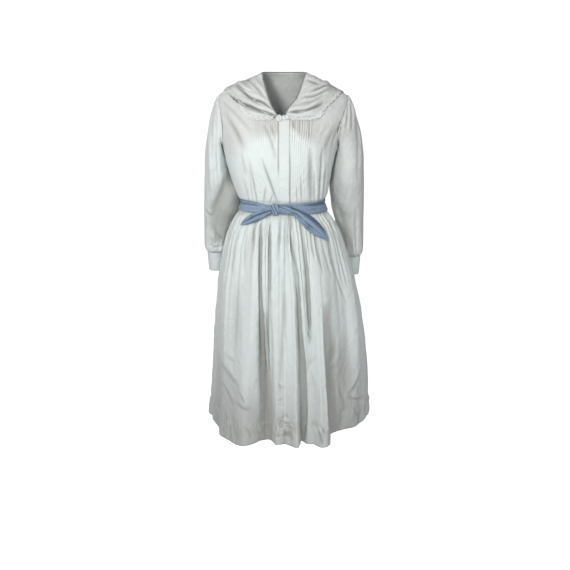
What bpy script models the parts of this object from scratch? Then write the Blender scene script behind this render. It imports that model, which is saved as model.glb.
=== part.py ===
# Shirtwaist dress in white cotton with a chambray tie belt, worn form, open and hollow.
# Metres, +Z up, the front faces -Y. The origin is midway between the two points where the
# neckline meets the shoulder seams. Angles go round the body from 0 at the centre front,
# positive towards +X, so +90 and -90 are the sides and 180 is the centre back.
from math import cos, degrees, pi, radians, sin

import bmesh
import bpy
import numpy as np

# Driving dimensions
CLOTH = 0.0015              # wall of the cotton
CUFF_CLOTH = 0.0022         # wall of a cuff, two layers
BELT_CLOTH = 0.0016         # wall of the belt
SEAM = 0.0003               # gap between neighbouring pieces
CENTRE_X = -0.003           # centre front line
SHOULDER_TIP = -0.066       # height of the outer end of the shoulder seam
UNDERARM = -0.215           # height of the lowest point of the armhole
NECK_POINT = -0.004         # height of the front panels' top corner
V_POINT = -0.128            # height of the bottom of the V neck
WAIST = -0.400              # height of the waist seam
HEM = -1.132                # height of the hem
ROUND = 2.3                 # squareness of the body and skirt sections, 2 is an ellipse
PLACKET_WIDTH = 0.034
CUFF_HEIGHT = 0.063
CUFF_LEAN = 0.010           # how far a cuff's lower edge lies behind its upper edge
BUTTON_RADIUS = 0.0055
BUTTON_THICK = 0.0026

# Sections of the bodice: half widths to each side and depths to front and back.
BODICE_SECTIONS = [
    # height, left, right, front, back
    (0.000, 0.067, 0.062, 0.012, 0.062),
    (-0.020, 0.107, 0.099, 0.024, 0.076),
    (-0.035, 0.146, 0.128, 0.036, 0.084),
    (-0.050, 0.183, 0.160, 0.048, 0.091),
    (-0.066, 0.202, 0.190, 0.060, 0.098),
    (-0.080, 0.207, 0.199, 0.071, 0.103),
    (-0.120, 0.209, 0.196, 0.101, 0.113),
    (-0.160, 0.205, 0.183, 0.117, 0.118),
    (-0.215, 0.194, 0.164, 0.127, 0.118),
    (-0.270, 0.183, 0.151, 0.131, 0.113),
    (-0.330, 0.166, 0.140, 0.124, 0.105),
    (-0.366, 0.153, 0.134, 0.116, 0.099),
    (-0.380, 0.138, 0.123, 0.106, 0.091),
    (-0.400, 0.137, 0.122, 0.105, 0.090),
]

# Sections of the skirt. Gather is the height of the fine gathers below the waist seam.
SKIRT_SECTIONS = [
    # height, left, right, front, back, middle, gather
    (-0.400, 0.137, 0.122, 0.105, 0.090, 0.000, 0.0006),
    (-0.418, 0.142, 0.128, 0.110, 0.094, 0.000, 0.0015),
    (-0.440, 0.157, 0.143, 0.121, 0.103, 0.000, 0.0030),
    (-0.480, 0.177, 0.169, 0.135, 0.118, 0.001, 0.0036),
    (-0.550, 0.197, 0.195, 0.153, 0.131, 0.003, 0.0028),
    (-0.660, 0.215, 0.228, 0.176, 0.155, 0.006, 0.0014),
    (-0.800, 0.226, 0.253, 0.196, 0.187, 0.011, 0.0005),
    (-0.960, 0.233, 0.268, 0.213, 0.206, 0.016, 0.0000),
    (-1.132, 0.246, 0.273, 0.226, 0.222, 0.020, 0.0000),
]
FOLD_MIDDLE = -0.680        # height at which the folds' middle columns are given

# Fold lines of the skirt, from one side seam to the other across the front, then the back.
# The angles say where a line crosses the waist, the hip and the hem. The pushes are how far
# it stands outside the plain section, or inside it where negative.
FRONT_FOLDS = [
    # waist_angle, hip_angle, hem_angle, hip_push, hem_push
    (-90.0, -90.0, -92.0, 0.000, 0.000),
    (-74.0, -74.0, -69.0, -0.004, -0.016),
    (-58.0, -57.0, -53.0, 0.003, 0.006),
    (-44.0, -43.0, -41.0, -0.004, 0.016),
    (-32.0, -29.0, -27.0, 0.005, 0.036),
    (-22.0, -17.0, -15.0, -0.013, -0.026),
    (-17.0, -13.5, -11.0, 0.001, -0.030),
    (-12.5, -10.0, -7.0, -0.009, -0.030),
    (-7.0, -5.5, -3.0, 0.005, 0.005),
    (0.0, 0.0, 0.0, 0.000, -0.004),
    (2.2, 3.6, 4.2, 0.004, 0.030),
    (4.6, 7.0, 7.6, -0.015, -0.022),
    (10.0, 10.6, 11.5, 0.004, -0.004),
    (16.6, 15.4, 16.0, -0.013, 0.004),
    (22.0, 19.5, 20.0, 0.005, 0.038),
    (30.0, 26.0, 25.5, 0.007, 0.026),
    (42.0, 37.0, 35.5, -0.006, -0.050),
    (55.0, 52.0, 52.0, -0.009, -0.056),
    (68.0, 65.0, 66.0, 0.004, -0.034),
    (79.0, 78.0, 78.0, -0.004, -0.022),
    (90.0, 90.0, 90.0, 0.000, 0.000),
]
CENTRE_FOLD = 9             # the row of the centre front seam
BACK_FOLDS = 16             # ridges and valleys across the back
BACK_HIP_PUSH = 0.006
BACK_HEM_PUSH = 0.020
FRONT_COLUMNS = 40          # in each front panel of the skirt
BACK_COLUMNS = 64
GATHERS = 11                # fine gathers in each front panel, twice as many in the back
SKIRT_HEIGHTS = (-0.4003, -0.418, -0.440, -0.480, -0.550, -0.660, -0.800, -0.960, HEM)

# Neckline of the front: distance of its edge from the middle plane.
NECK_LEFT = [
    # height, x
    (0.000, -0.068), (-0.020, -0.0665), (-0.045, -0.058), (-0.077, -0.048),
    (-0.100, -0.038), (-0.1233, -0.022), (-0.128, -0.003),
]
NECK_RIGHT = [
    (0.000, 0.0625), (-0.025, 0.054), (-0.050, 0.045), (-0.077, 0.033),
    (-0.100, 0.011), (-0.1233, 0.000), (-0.128, -0.003),
]

# Armholes: how far the seam lies from the side, at the top and at the bottom of the curve.
ARM_CURVE = {
    # panel: (angle at the top, growth down to the underarm)
    ("left", "front"): (22.0, 3.0),
    ("right", "front"): (24.0, 9.0),
    ("left", "back"): (26.0, 4.0),
    ("right", "back"): (26.0, 4.0),
}
ARM_STEPS = 6

# Pin tucks beside the placket, counted from the centre front line outwards.
TUCK_COUNT = 9
TUCK_START = 0.0205         # distance of the first valley from the centre front line
TUCK_PITCH = 0.0072
TUCK_RISE = 0.0018
TUCK_LEVEL = -0.150         # height at which the distances are measured
TUCK_ZONE = 0.088           # width of the tucked zone there
SIDE_STEPS = 5              # columns between the last tuck and the side
BACK_STEPS = 16             # columns of the back panel

# Sleeve sections below the elbow's start, as distances from the middle plane.
LEFT_SLEEVE = [
    # height, outer, inner, front, back, gather
    (-0.285, 0.254, 0.182, -0.040, 0.110, 0.0000),
    (-0.330, 0.257, 0.164, -0.030, 0.118, 0.0000),
    (-0.375, 0.260, 0.146, -0.010, 0.125, 0.0000),
    (-0.420, 0.263, 0.142, 0.012, 0.133, 0.0000),
    (-0.465, 0.265, 0.160, 0.036, 0.142, 0.0004),
    (-0.510, 0.2655, 0.174, 0.052, 0.150, 0.0010),
    (-0.545, 0.265, 0.184, 0.058, 0.155, 0.0020),
    (-0.567, 0.262, 0.193, 0.062, 0.155, 0.0022),
    (-0.5765, 0.2585, 0.201, 0.074, 0.148, 0.0006),
]
RIGHT_SLEEVE = [
    (-0.285, 0.249, 0.1485, -0.045, 0.110, 0.0000),
    (-0.330, 0.252, 0.142, -0.034, 0.118, 0.0000),
    (-0.375, 0.254, 0.145, -0.012, 0.125, 0.0000),
    (-0.420, 0.256, 0.150, 0.012, 0.133, 0.0000),
    (-0.465, 0.257, 0.162, 0.036, 0.141, 0.0004),
    (-0.510, 0.258, 0.172, 0.052, 0.150, 0.0010),
    (-0.555, 0.2575, 0.184, 0.060, 0.156, 0.0020),
    (-0.580, 0.255, 0.190, 0.064, 0.156, 0.0022),
    (-0.5905, 0.252, 0.197, 0.076, 0.150, 0.0006),
]
SLEEVE_GATHERS = 9          # small gathers round the cuff seam
CAP_STEPS = (0.14, 0.32, 0.52, 0.75)

# Outer edge of the collar, from the left front end over the shoulders and round the back.
COLLAR_EDGE = [
    # place along the collar, angle, height
    (0.000, -8.0, -0.136),
    (0.070, -20.5, -0.137),
    (0.095, -24.5, -0.130),
    (0.120, -31.5, -0.117),
    (0.150, -40.0, -0.097),
    (0.185, -52.0, -0.069),
    (0.215, -70.0, -0.053),
    (0.250, -90.0, -0.046),
    (0.285, -108.0, -0.060),
    (0.335, -127.0, -0.098),
    (0.410, -152.0, -0.143),
    (0.500, -180.0, -0.160),
    (0.590, -208.0, -0.143),
    (0.665, -233.0, -0.098),
    (0.715, -252.0, -0.065),
    (0.750, -270.0, -0.052),
    (0.785, -290.0, -0.058),
    (0.820, -309.0, -0.072),
    (0.850, -320.5, -0.093),
    (0.880, -326.0, -0.108),
    (0.905, -331.0, -0.130),
    (0.930, -340.0, -0.137),
    (1.000, -357.0, -0.136),
]
# Inner edge of the collar: it follows the neckline up, round the back neck and down.
COLLAR_NECK_PLACE = (0.0, 0.08, 0.17, 0.26, 0.38, 0.50, 0.62, 0.74, 0.83, 0.92, 1.0)
COLLAR_NECK_HEIGHT = (-0.121, -0.095, -0.055, -0.003, 0.000, 0.000,
                      0.000, -0.003, -0.055, -0.095, -0.121)
COLLAR_COLUMNS = 92
SCALLOP = 0.0034            # depth of the scallops along the collar's edge
# Rows across the collar: share of its width, and how high the cloth lifts there.
COLLAR_ROWS = [
    # share, lift, fold
    (0.00, 0.0040, 0.0000),
    (0.22, 0.0052, 0.0028),
    (0.42, 0.0055, -0.0008),
    (0.62, 0.0060, 0.0060),
    (0.84, 0.0055, -0.0006),
    (1.00, 0.0048, 0.0010),
]

# The tab between the collar's ends. Seat is how far its back lies in front of the bodice:
# the first fold lies on the placket, the second on the collar's end.
TAB_FOLDS = [
    # node, x, height, width, tall, deep, seat
    ("collar_tab", -0.0175, -0.1295, 0.0150, 0.019, 0.0060, 0.0024),
    ("collar_tab_end", 0.0015, -0.1275, 0.019, 0.014, 0.0050, 0.0058),
]

# Belt: height of its upper and lower edge round the waist.
BELT_EDGES = [
    # angle, top, bottom
    (-180.0, -0.384, -0.419), (-90.0, -0.3815, -0.416), (-45.0, -0.383, -0.4170),
    (-12.0, -0.390, -0.4165), (0.0, -0.3865, -0.418), (45.0, -0.385, -0.420),
    (90.0, -0.3855, -0.420), (180.0, -0.384, -0.419),
]
BELT_COLUMNS = 44
BELT_CLEAR = 0.0026         # from the bodice to the belt's inner face
BELT_RIPPLE = 0.0006        # height of the belt's long creases

# Tails of the belt: stations along the middle line, with the width there and how far the
# outer face stands in front of what the tail lies on.
BELT_TAILS = {
    "belt_tail_right": [
        # x, height, width, stand_off
        (-0.043, -0.409, 0.014, 0.0052),
        (-0.062, -0.416, 0.021, 0.0058),
        (-0.084, -0.425, 0.025, 0.0060),
        (-0.106, -0.436, 0.023, 0.0054),
        (-0.124, -0.446, 0.015, 0.0048),
        (-0.138, -0.455, 0.003, 0.0045),
    ],
    "belt_tail_left": [
        (-0.0105, -0.4065, 0.016, 0.0046),
        (0.012, -0.4045, 0.021, 0.0056),
        (0.032, -0.410, 0.025, 0.0066),
        (0.056, -0.428, 0.034, 0.0064),
        (0.080, -0.450, 0.042, 0.0050),
        (0.103, -0.472, 0.038, 0.0045),
        (0.120, -0.489, 0.022, 0.0045),
        (0.132, -0.502, 0.003, 0.0045),
    ],
}
TAIL_RIDGE = 0.0016         # the tails' long middle crease
KNOT_CLEAR = 0.0026         # from the belt to the back of the knot


def clear_scene():
    for item in list(bpy.data.objects):
        bpy.data.objects.remove(item, do_unlink=True)


def finish_material(name, colour, roughness):
    made = bpy.data.materials.new(name)
    made.use_nodes = True
    shader = made.node_tree.nodes["Principled BSDF"]
    shader.inputs["Base Color"].default_value = (*colour, 1.0)
    shader.inputs["Roughness"].default_value = roughness
    shader.inputs["Metallic"].default_value = 0.0
    made.diffuse_color = (*colour, 1.0)
    return made


def smooth_curve(places, values, at):
    """A curve through the given values that never swings past them."""
    x = np.asarray(places, dtype=float)
    y = np.asarray(values, dtype=float)
    if x[0] > x[-1]:
        x = x[::-1]
        y = y[::-1]
    step = np.diff(x)
    slope = np.diff(y) / step
    tangent = np.zeros_like(y)
    for i in range(1, len(y) - 1):
        if slope[i - 1] * slope[i] > 0.0:
            tangent[i] = 2.0 * slope[i - 1] * slope[i] / (slope[i - 1] + slope[i])
    tangent[0] = slope[0]
    tangent[-1] = slope[-1]
    at = np.clip(np.asarray(at, dtype=float), x[0], x[-1])
    i = np.clip(np.searchsorted(x, at, side="right") - 1, 0, len(step) - 1)
    t = (at - x[i]) / step[i]
    t2 = t * t
    t3 = t2 * t
    return (
        (2.0 * t3 - 3.0 * t2 + 1.0) * y[i]
        + (t3 - 2.0 * t2 + t) * step[i] * tangent[i]
        + (3.0 * t2 - 2.0 * t3) * y[i + 1]
        + (t3 - t2) * step[i] * tangent[i + 1]
    )


def column(table, index):
    return [row[index] for row in table]


def section(table, at):
    """The columns of a table at one value of its first column."""
    first = column(table, 0)
    return [float(smooth_curve(first, column(table, i), at)) for i in range(1, len(table[0]))]


def power(value, exponent):
    return np.sign(value) * np.abs(value) ** exponent


def section_point(left, right, front, back, middle, angle, height):
    """A point on a body section, at an angle in degrees from the centre front."""
    across = power(sin(radians(angle)), 2.0 / ROUND)
    forward = power(cos(radians(angle)), 2.0 / ROUND)
    width = right if across > 0.0 else left
    depth = front if forward > 0.0 else back
    return np.array((width * across, middle - depth * forward, height))


def bodice_point(angle, height):
    left, right, front, back = section(BODICE_SECTIONS, height)
    return section_point(left, right, front, back, 0.0, angle, height)


def skirt_point(angle, height):
    left, right, front, back, middle, gather = section(SKIRT_SECTIONS, height)
    return section_point(left, right, front, back, middle, angle, height)


def angle_of(x, height, sections=BODICE_SECTIONS):
    """The angle at which the front of a section has this x."""
    left, right = section(sections, height)[:2]
    width = right if x > 0.0 else left
    share = min(1.0, abs(x) / width) ** (ROUND / 2.0)
    return degrees(np.arcsin(share)) * (1.0 if x > 0.0 else -1.0)


def unit(vectors):
    length = np.linalg.norm(vectors, axis=-1, keepdims=True)
    return vectors / np.maximum(length, 1e-12)


def grid_normals(points, axis, ring=False):
    """Outward normals of a grid of rows and columns, away from an axis point in each row."""
    if ring:
        along = np.roll(points, -1, axis=1) - np.roll(points, 1, axis=1)
    else:
        along = np.gradient(points, axis=1)
    down = np.gradient(points, axis=0)
    normals = unit(np.cross(down, along))
    outward = points - axis[:, None, :]
    if np.sum(normals * outward) < 0.0:
        normals = -normals
    return normals


def flatten(normals, where, part):
    """Lay the normals of an edge in the plane of its seam, so that facing edges stay parallel."""
    normals[where + (part,)] = 0.0
    normals[where] = unit(normals[where])


FIRST_ROW = (0, slice(None))
LAST_ROW = (-1, slice(None))


def wall(name, outer, normals, thickness, material, ring=False):
    """A closed wall: the outer grid, the same grid moved in, and the rims between them."""
    inner = outer - normals * thickness
    rows, columns = outer.shape[:2]
    shape = bmesh.new()
    outside = [[shape.verts.new(point) for point in row] for row in outer]
    inside = [[shape.verts.new(point) for point in row] for row in inner]
    last = columns if ring else columns - 1
    for r in range(rows - 1):
        for c in range(last):
            n = (c + 1) % columns
            shape.faces.new((outside[r][c], outside[r + 1][c], outside[r + 1][n], outside[r][n]))
            shape.faces.new((inside[r][n], inside[r + 1][n], inside[r + 1][c], inside[r][c]))
    for c in range(last):
        n = (c + 1) % columns
        shape.faces.new((outside[0][c], outside[0][n], inside[0][n], inside[0][c]))
        shape.faces.new((outside[-1][n], outside[-1][c], inside[-1][c], inside[-1][n]))
    if not ring:
        for r in range(rows - 1):
            shape.faces.new((outside[r + 1][0], outside[r][0], inside[r][0], inside[r + 1][0]))
            shape.faces.new((outside[r][-1], outside[r + 1][-1], inside[r + 1][-1], inside[r][-1]))
    return finish(name, shape, material)


def finish(name, shape, material):
    shape.normal_update()
    bmesh.ops.recalc_face_normals(shape, faces=shape.faces)
    data = bpy.data.meshes.new(name)
    shape.to_mesh(data)
    shape.free()
    data.shade_smooth()
    data.set_sharp_from_angle(angle=radians(40.0))
    data.materials.append(material)
    made = bpy.data.objects.new(name, data)
    bpy.context.collection.objects.link(made)
    return made


# Armholes


def arm_heights():
    middle = 0.5 * (SHOULDER_TIP + UNDERARM)
    half = 0.5 * (SHOULDER_TIP - UNDERARM)
    return [middle + half * cos(pi * i / ARM_STEPS) for i in range(ARM_STEPS + 1)]


def arm_angle(side, face, height):
    """Angle of the armhole seam at a height. Outside the armhole it is the side itself."""
    down = (SHOULDER_TIP - height) / (SHOULDER_TIP - UNDERARM)
    sign = -1.0 if side == "left" else 1.0
    if down <= 0.0 or down >= 1.0:
        return sign * 90.0
    start, growth = ARM_CURVE[(side, face)]
    turn = (start + growth * down) * sin(pi * down) ** 0.4
    return sign * (90.0 - turn if face == "front" else 90.0 + turn)


def arm_point(side, face, height):
    """A point of the armhole seam, on the straight chords between its main heights."""
    heights = arm_heights()
    if height >= heights[0] or height <= heights[-1]:
        return bodice_point(arm_angle(side, face, height), height)
    for top, bottom in zip(heights, heights[1:]):
        if bottom <= height <= top:
            share = (top - height) / (top - bottom)
            start = bodice_point(arm_angle(side, face, top), top)
            end = bodice_point(arm_angle(side, face, bottom), bottom)
            return start + (end - start) * share
    return bodice_point(arm_angle(side, face, height), height)


def surface_out(side, point):
    """Outward direction of the bodice at a point of its armhole."""
    sign = -1.0 if side == "left" else 1.0
    widths = section(BODICE_SECTIONS, point[2])
    widths_above = section(BODICE_SECTIONS, point[2] + 0.004)
    width, width_above = (widths[0], widths_above[0]) if side == "left" else (widths[1], widths_above[1])
    depth = widths[3] if point[1] > 0.0 else widths[2]
    slope = max(0.0, (width - width_above) / 0.004)
    return unit(np.array((
        sign * power(abs(point[0]) / width, ROUND - 1.0) / width,
        power(point[1] / depth, ROUND - 1.0) / depth,
        slope / width,
    )))


def at_armhole(height):
    return UNDERARM - 1e-6 <= height <= SHOULDER_TIP + 1e-6


# Bodice


def bodice_heights(face):
    above = [NECK_POINT, -0.024, -0.045]
    if face == "back":
        above[0] = 0.0
    below = [-0.245, -0.285, -0.325, -0.360, -0.382, WAIST]
    heights = above + arm_heights() + below
    if face == "front":
        heights.append(V_POINT)
    return sorted(heights, reverse=True)


def neck_distance(side, height):
    """Distance of the neckline from the centre front, none below the V."""
    if height <= V_POINT:
        return 0.0
    table = NECK_LEFT if side == "left" else NECK_RIGHT
    x = float(np.interp(-height, [-row[0] for row in table], column(table, 1)))
    return abs(x - CENTRE_X)


def neck_angle(side, height):
    sign = -1.0 if side == "left" else 1.0
    return angle_of(CENTRE_X + sign * neck_distance(side, height), height)


def front_columns(side, height):
    """Angles of a front panel's columns at a height, with the rise of the tucks there."""
    sign = -1.0 if side == "left" else 1.0
    left, right = section(BODICE_SECTIONS, height)[:2]
    at_level = section(BODICE_SECTIONS, TUCK_LEVEL)
    width, level_width = (left, at_level[0]) if side == "left" else (right, at_level[1])
    neck = neck_distance(side, height)
    zone = TUCK_ZONE * min(1.0, width / level_width) ** 0.7
    zone = min(max(zone, neck + 0.3 * (width - neck)), neck + 0.8 * (width - neck))
    columns = [(angle_of(CENTRE_X + sign * neck, height), 0.0)]
    for i in range(2 * TUCK_COUNT + 1):
        distance = TUCK_START + 0.5 * TUCK_PITCH * i
        along = neck + (zone - neck) * distance / TUCK_ZONE
        columns.append((angle_of(CENTRE_X + sign * along, height), float(i % 2)))
    last = columns[-1][0]
    end = arm_angle(side, "front", height)
    for i in range(1, SIDE_STEPS + 1):
        columns.append((last + (end - last) * i / SIDE_STEPS, 0.0))
    return columns


def tuck_height(height):
    """Pin tucks stand sharp on the chest and spread into soft folds towards the waist."""
    return float(smooth_curve(
        (-0.07, -0.11, -0.185, -0.22, -0.33, -0.40),
        (0.0, TUCK_RISE, TUCK_RISE, 0.0007, 0.0011, 0.0006),
        height,
    ))


def front_panel(side, cotton):
    sign = -1.0 if side == "left" else 1.0
    heights = bodice_heights("front")
    count = 2 + 2 * TUCK_COUNT + SIDE_STEPS
    outer = np.zeros((len(heights), count, 3))
    rise = np.zeros((len(heights), count))
    for r, height in enumerate(heights):
        for c, (angle, ridge) in enumerate(front_columns(side, height)):
            outer[r, c] = bodice_point(angle, height)
            rise[r, c] = ridge * tuck_height(height)
        outer[r, -1] = arm_point(side, "front", height)
    axis = np.array([(0.0, 0.0, height) for height in heights])
    normals = grid_normals(outer, axis)
    flatten(normals, LAST_ROW, 2)
    for r, height in enumerate(heights):
        if height <= V_POINT:
            normals[r, 0] = unit(normals[r, 0] * (0.0, 1.0, 1.0))
            outer[r, 0, 0] = CENTRE_X + sign * SEAM / 2.0
        if height > SHOULDER_TIP - 1e-6 or height < UNDERARM + 1e-6:
            normals[r, -1] = unit(normals[r, -1] * (1.0, 0.0, 1.0))
            outer[r, -1, 1] -= SEAM / 2.0
        if at_armhole(height):
            normals[r, -1] = surface_out(side, arm_point(side, "front", height))
    flatten(normals, LAST_ROW, 2)
    inner_base = outer.copy()
    outer = outer + normals * rise[..., None]
    name = "bodice_front_" + wearer(side)
    return relief_wall(name, outer, inner_base - normals * CLOTH, cotton)


def wearer(side):
    return "right" if side == "left" else "left"


def relief_wall(name, outer, inner, material):
    """A wall whose inner face stays plain under the relief of its outer face."""
    thickness = np.linalg.norm(outer - inner, axis=-1, keepdims=True)
    return wall(name, outer, (outer - inner) / thickness, thickness, material)


def back_panel(cotton):
    heights = bodice_heights("back")
    steps = BACK_STEPS
    outer = np.zeros((len(heights), steps + 1, 3))
    for r, height in enumerate(heights):
        start = arm_angle("right", "back", height)
        end = 360.0 + arm_angle("left", "back", height)
        for c in range(steps + 1):
            outer[r, c] = bodice_point(start + (end - start) * c / steps, height)
        outer[r, 0] = arm_point("right", "back", height)
        outer[r, -1] = arm_point("left", "back", height)
    axis = np.array([(0.0, 0.0, height) for height in heights])
    normals = grid_normals(outer, axis)
    for r, height in enumerate(heights):
        if height > SHOULDER_TIP - 1e-6 or height < UNDERARM + 1e-6:
            for c in (0, -1):
                normals[r, c] = unit(normals[r, c] * (1.0, 0.0, 1.0))
                outer[r, c, 1] += SEAM / 2.0
        if at_armhole(height):
            normals[r, 0] = surface_out("right", arm_point("right", "back", height))
            normals[r, -1] = surface_out("left", arm_point("left", "back", height))
    flatten(normals, LAST_ROW, 2)
    return wall("bodice_back", outer, normals, CLOTH, cotton)


def placket(cotton):
    """The covered button strip, laid on both front panels."""
    heights = [h for h in bodice_heights("front") if h < V_POINT - 0.001]
    heights.insert(0, V_POINT - 0.002)
    heights[-1] = WAIST + SEAM
    steps = 4
    outer = np.zeros((len(heights), steps + 1, 3))
    for r, height in enumerate(heights):
        for c in range(steps + 1):
            x = CENTRE_X + PLACKET_WIDTH * (c / steps - 0.5)
            outer[r, c] = bodice_point(angle_of(x, height), height)
    axis = np.array([(0.0, 0.0, height) for height in heights])
    normals = grid_normals(outer, axis)
    return wall("bodice_placket", outer + normals * (CLOTH + 2.0 * SEAM), normals, CLOTH, cotton)


# Sleeves


def arm_ring(side):
    """Points round the armhole from the shoulder tip over the front, with the bodice normals."""
    heights = arm_heights()
    main = [arm_point(side, "front", h) for h in heights]
    main += [arm_point(side, "back", h) for h in heights[-2:0:-1]]
    ring = []
    for point, following in zip(main, main[1:] + main[:1]):
        ring.append(point)
        ring.append((point + following) / 2.0)
    ring = np.array(ring)
    return ring, np.array([surface_out(side, point) for point in ring])


def sleeve_ring(row, sign, count, gathers):
    height, outer, inner, front, back, gather = row
    centre = np.array((sign * (outer + inner) / 2.0, (front + back) / 2.0, height))
    half = np.array(((outer - inner) / 2.0, (back - front) / 2.0))
    ring = np.zeros((count, 3))
    for i in range(count):
        turn = 2.0 * pi * i / count
        ripple = gather * cos(gathers * turn)
        ring[i] = centre + np.array((
            sign * (half[0] + ripple) * cos(turn), -(half[1] + ripple) * sin(turn), 0.0,
        ))
    return ring


def sleeve(side, cotton):
    sign = -1.0 if side == "left" else 1.0
    table = LEFT_SLEEVE if side == "left" else RIGHT_SLEEVE
    ring, out = arm_ring(side)
    count = len(ring)
    middle = ring.mean(axis=0)
    into = middle - ring
    into -= out * np.sum(into * out, axis=1, keepdims=True)
    into = unit(into)
    start = ring + into * SEAM
    elbow = sleeve_ring(table[0], sign, count, SLEEVE_GATHERS)
    rings = [start]
    lows = np.array([0.5 - 0.5 * cos(2.0 * pi * i / count) for i in range(count)])
    for share in CAP_STEPS:
        points = np.zeros_like(start)
        for i in range(count):
            low = lows[i]
            reach = 0.020 - 0.006 * low + 0.010 * sin(pi * low)
            leave = unit(out[i] + into[i] * (1.0 - 0.75 * low)) * reach
            arrive = np.array((0.0, 0.0, 0.085 - 0.060 * low))
            a, b, c, d = start[i], start[i] + leave, elbow[i] + arrive, elbow[i]
            t = share
            k = 1.0 - t
            points[i] = k**3 * a + 3 * k * k * t * b + 3 * k * t * t * c + t**3 * d
        rings.append(points)
    for row in table:
        rings.append(sleeve_ring(row, sign, count, SLEEVE_GATHERS))
    outer = np.array(rings)
    axis = outer.mean(axis=1)
    normals = grid_normals(outer, axis, ring=True)
    turn = (lows ** 1.5)[:, None]
    normals[0] = unit(out * (1.0 - turn) - into * turn)
    flatten(normals, LAST_ROW, 2)
    return wall("sleeve_" + wearer(side), outer, normals, CLOTH, cotton, ring=True)


def cuff(side, cotton):
    sign = -1.0 if side == "left" else 1.0
    table = LEFT_SLEEVE if side == "left" else RIGHT_SLEEVE
    height, outer, inner, front, back, gather = table[-1]
    rings = []
    for down in (0.0, 0.33, 0.67, 1.0):
        lean = CUFF_LEAN * down
        row = (height - SEAM - CUFF_HEIGHT * down, outer - 0.0035 * down, inner + 0.0005 * down,
               front + lean + 0.001, back + lean - 0.002, 0.0)
        rings.append(sleeve_ring(row, sign, 24, 1))
    points = np.array(rings)
    normals = grid_normals(points, points.mean(axis=1), ring=True)
    flatten(normals, FIRST_ROW, 2)
    wall("cuff_" + wearer(side), points, normals, CUFF_CLOTH, cotton, ring=True)
    return points, normals


def cuff_button(side, points, normals, pearl):
    """A small sew-on button on the outer back of the cuff."""
    place = (points[1, 20] + points[2, 20]) / 2.0
    away = unit(normals[1, 20] + normals[2, 20])
    disc = bmesh.new()
    bmesh.ops.create_cone(disc, cap_ends=True, segments=20, radius1=BUTTON_RADIUS,
                          radius2=BUTTON_RADIUS * 0.86, depth=BUTTON_THICK)
    side_axis = unit(np.cross((0.0, 0.0, 1.0), away))
    upright = np.cross(away, side_axis)
    centre = place + away * (BUTTON_THICK / 2.0 + 2.0 * SEAM)
    for vert in disc.verts:
        x, y, z = vert.co
        vert.co = centre + side_axis * x + upright * y + away * z
    return finish("cuff_button_" + wearer(side), disc, pearl)


# Collar


def neck_track(place):
    """Angle and height of the collar's inner edge at a share of its length."""
    height = float(smooth_curve(COLLAR_NECK_PLACE, COLLAR_NECK_HEIGHT, place))
    if place <= COLLAR_NECK_PLACE[3]:
        return neck_angle("left", height), height
    if place >= COLLAR_NECK_PLACE[7]:
        return neck_angle("right", height) - 360.0, height
    start = neck_angle("left", COLLAR_NECK_HEIGHT[3])
    end = neck_angle("right", COLLAR_NECK_HEIGHT[7]) - 360.0
    share = (place - COLLAR_NECK_PLACE[3]) / (COLLAR_NECK_PLACE[7] - COLLAR_NECK_PLACE[3])
    return start + (end - start) * share, height


def collar(cotton):
    """The wide collar, from one end at the V round the back neck to the other."""
    rows = len(COLLAR_ROWS)
    outer = np.zeros((rows, COLLAR_COLUMNS + 1, 3))
    lift = np.zeros((rows, COLLAR_COLUMNS + 1))
    for c in range(COLLAR_COLUMNS + 1):
        place = c / COLLAR_COLUMNS
        angle_in, height_in = neck_track(place)
        angle_out, height_out = section(COLLAR_EDGE, place)
        front = abs(2.0 * place - 1.0)
        fold_size = max(0.15, min(1.0, (front - 0.40) / 0.20)) * min(1.0, (1.0 - front) / 0.12)
        for r, (share, plain, fold) in enumerate(COLLAR_ROWS):
            angle = angle_in + (angle_out - angle_in) * share
            height = height_in + (height_out - height_in) * share
            outer[r, c] = bodice_point(angle, height)
            lift[r, c] = plain + fold * fold_size
    axis = np.tile(np.array((0.0, 0.0, -0.12)), (rows, 1))
    normals = grid_normals(outer, axis)
    outer = outer + normals * lift[..., None]
    edge = unit(outer[-1] - outer[-2])
    wave = np.array([1.0 if c % 2 else -1.0 for c in range(COLLAR_COLUMNS + 1)])
    outer[-1] += edge * (SCALLOP * 0.5 * wave)[:, None]
    normals = grid_normals(outer, axis)
    return wall("collar", outer, normals, CLOTH, cotton)


def collar_tab(cotton):
    """The two folds of the small tab between the collar's ends, following the front's slope."""
    for name, x, height, width, tall, deep, seat in TAB_FOLDS:
        lump = bmesh.new()
        bmesh.ops.create_uvsphere(lump, u_segments=14, v_segments=8, radius=1.0)
        for vert in lump.verts:
            x1, y1, z1 = (power(value, 0.7) for value in vert.co)
            pinch = 1.0 - 0.10 * cos(3.0 * pi * x1)
            across = x + x1 * width / 2.0
            level = height + z1 * tall / 2.0
            base = bodice_point(angle_of(across, level), level)[1]
            vert.co = (across, base - seat - (1.1 - y1 * pinch) * deep / 2.0, level)
        finish(name, lump, cotton)


# Skirt


def skirt_heights():
    return np.array(SKIRT_HEIGHTS)


def back_folds():
    rows = [FRONT_FOLDS[-1]]
    for i in range(1, BACK_FOLDS):
        angle = 90.0 + 180.0 * i / BACK_FOLDS + 2.5 * sin(2.1 * i)
        size = (1.0 if i % 2 else -1.0) * (0.8 + 0.35 * sin(1.7 * i + 0.4))
        rows.append((angle, angle, angle + 1.5 * sin(3.3 * i), BACK_HIP_PUSH * size, BACK_HEM_PUSH * size))
    left = FRONT_FOLDS[0]
    rows.append((270.0, 270.0, 360.0 + left[2], left[3], left[4]))
    return rows


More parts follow.
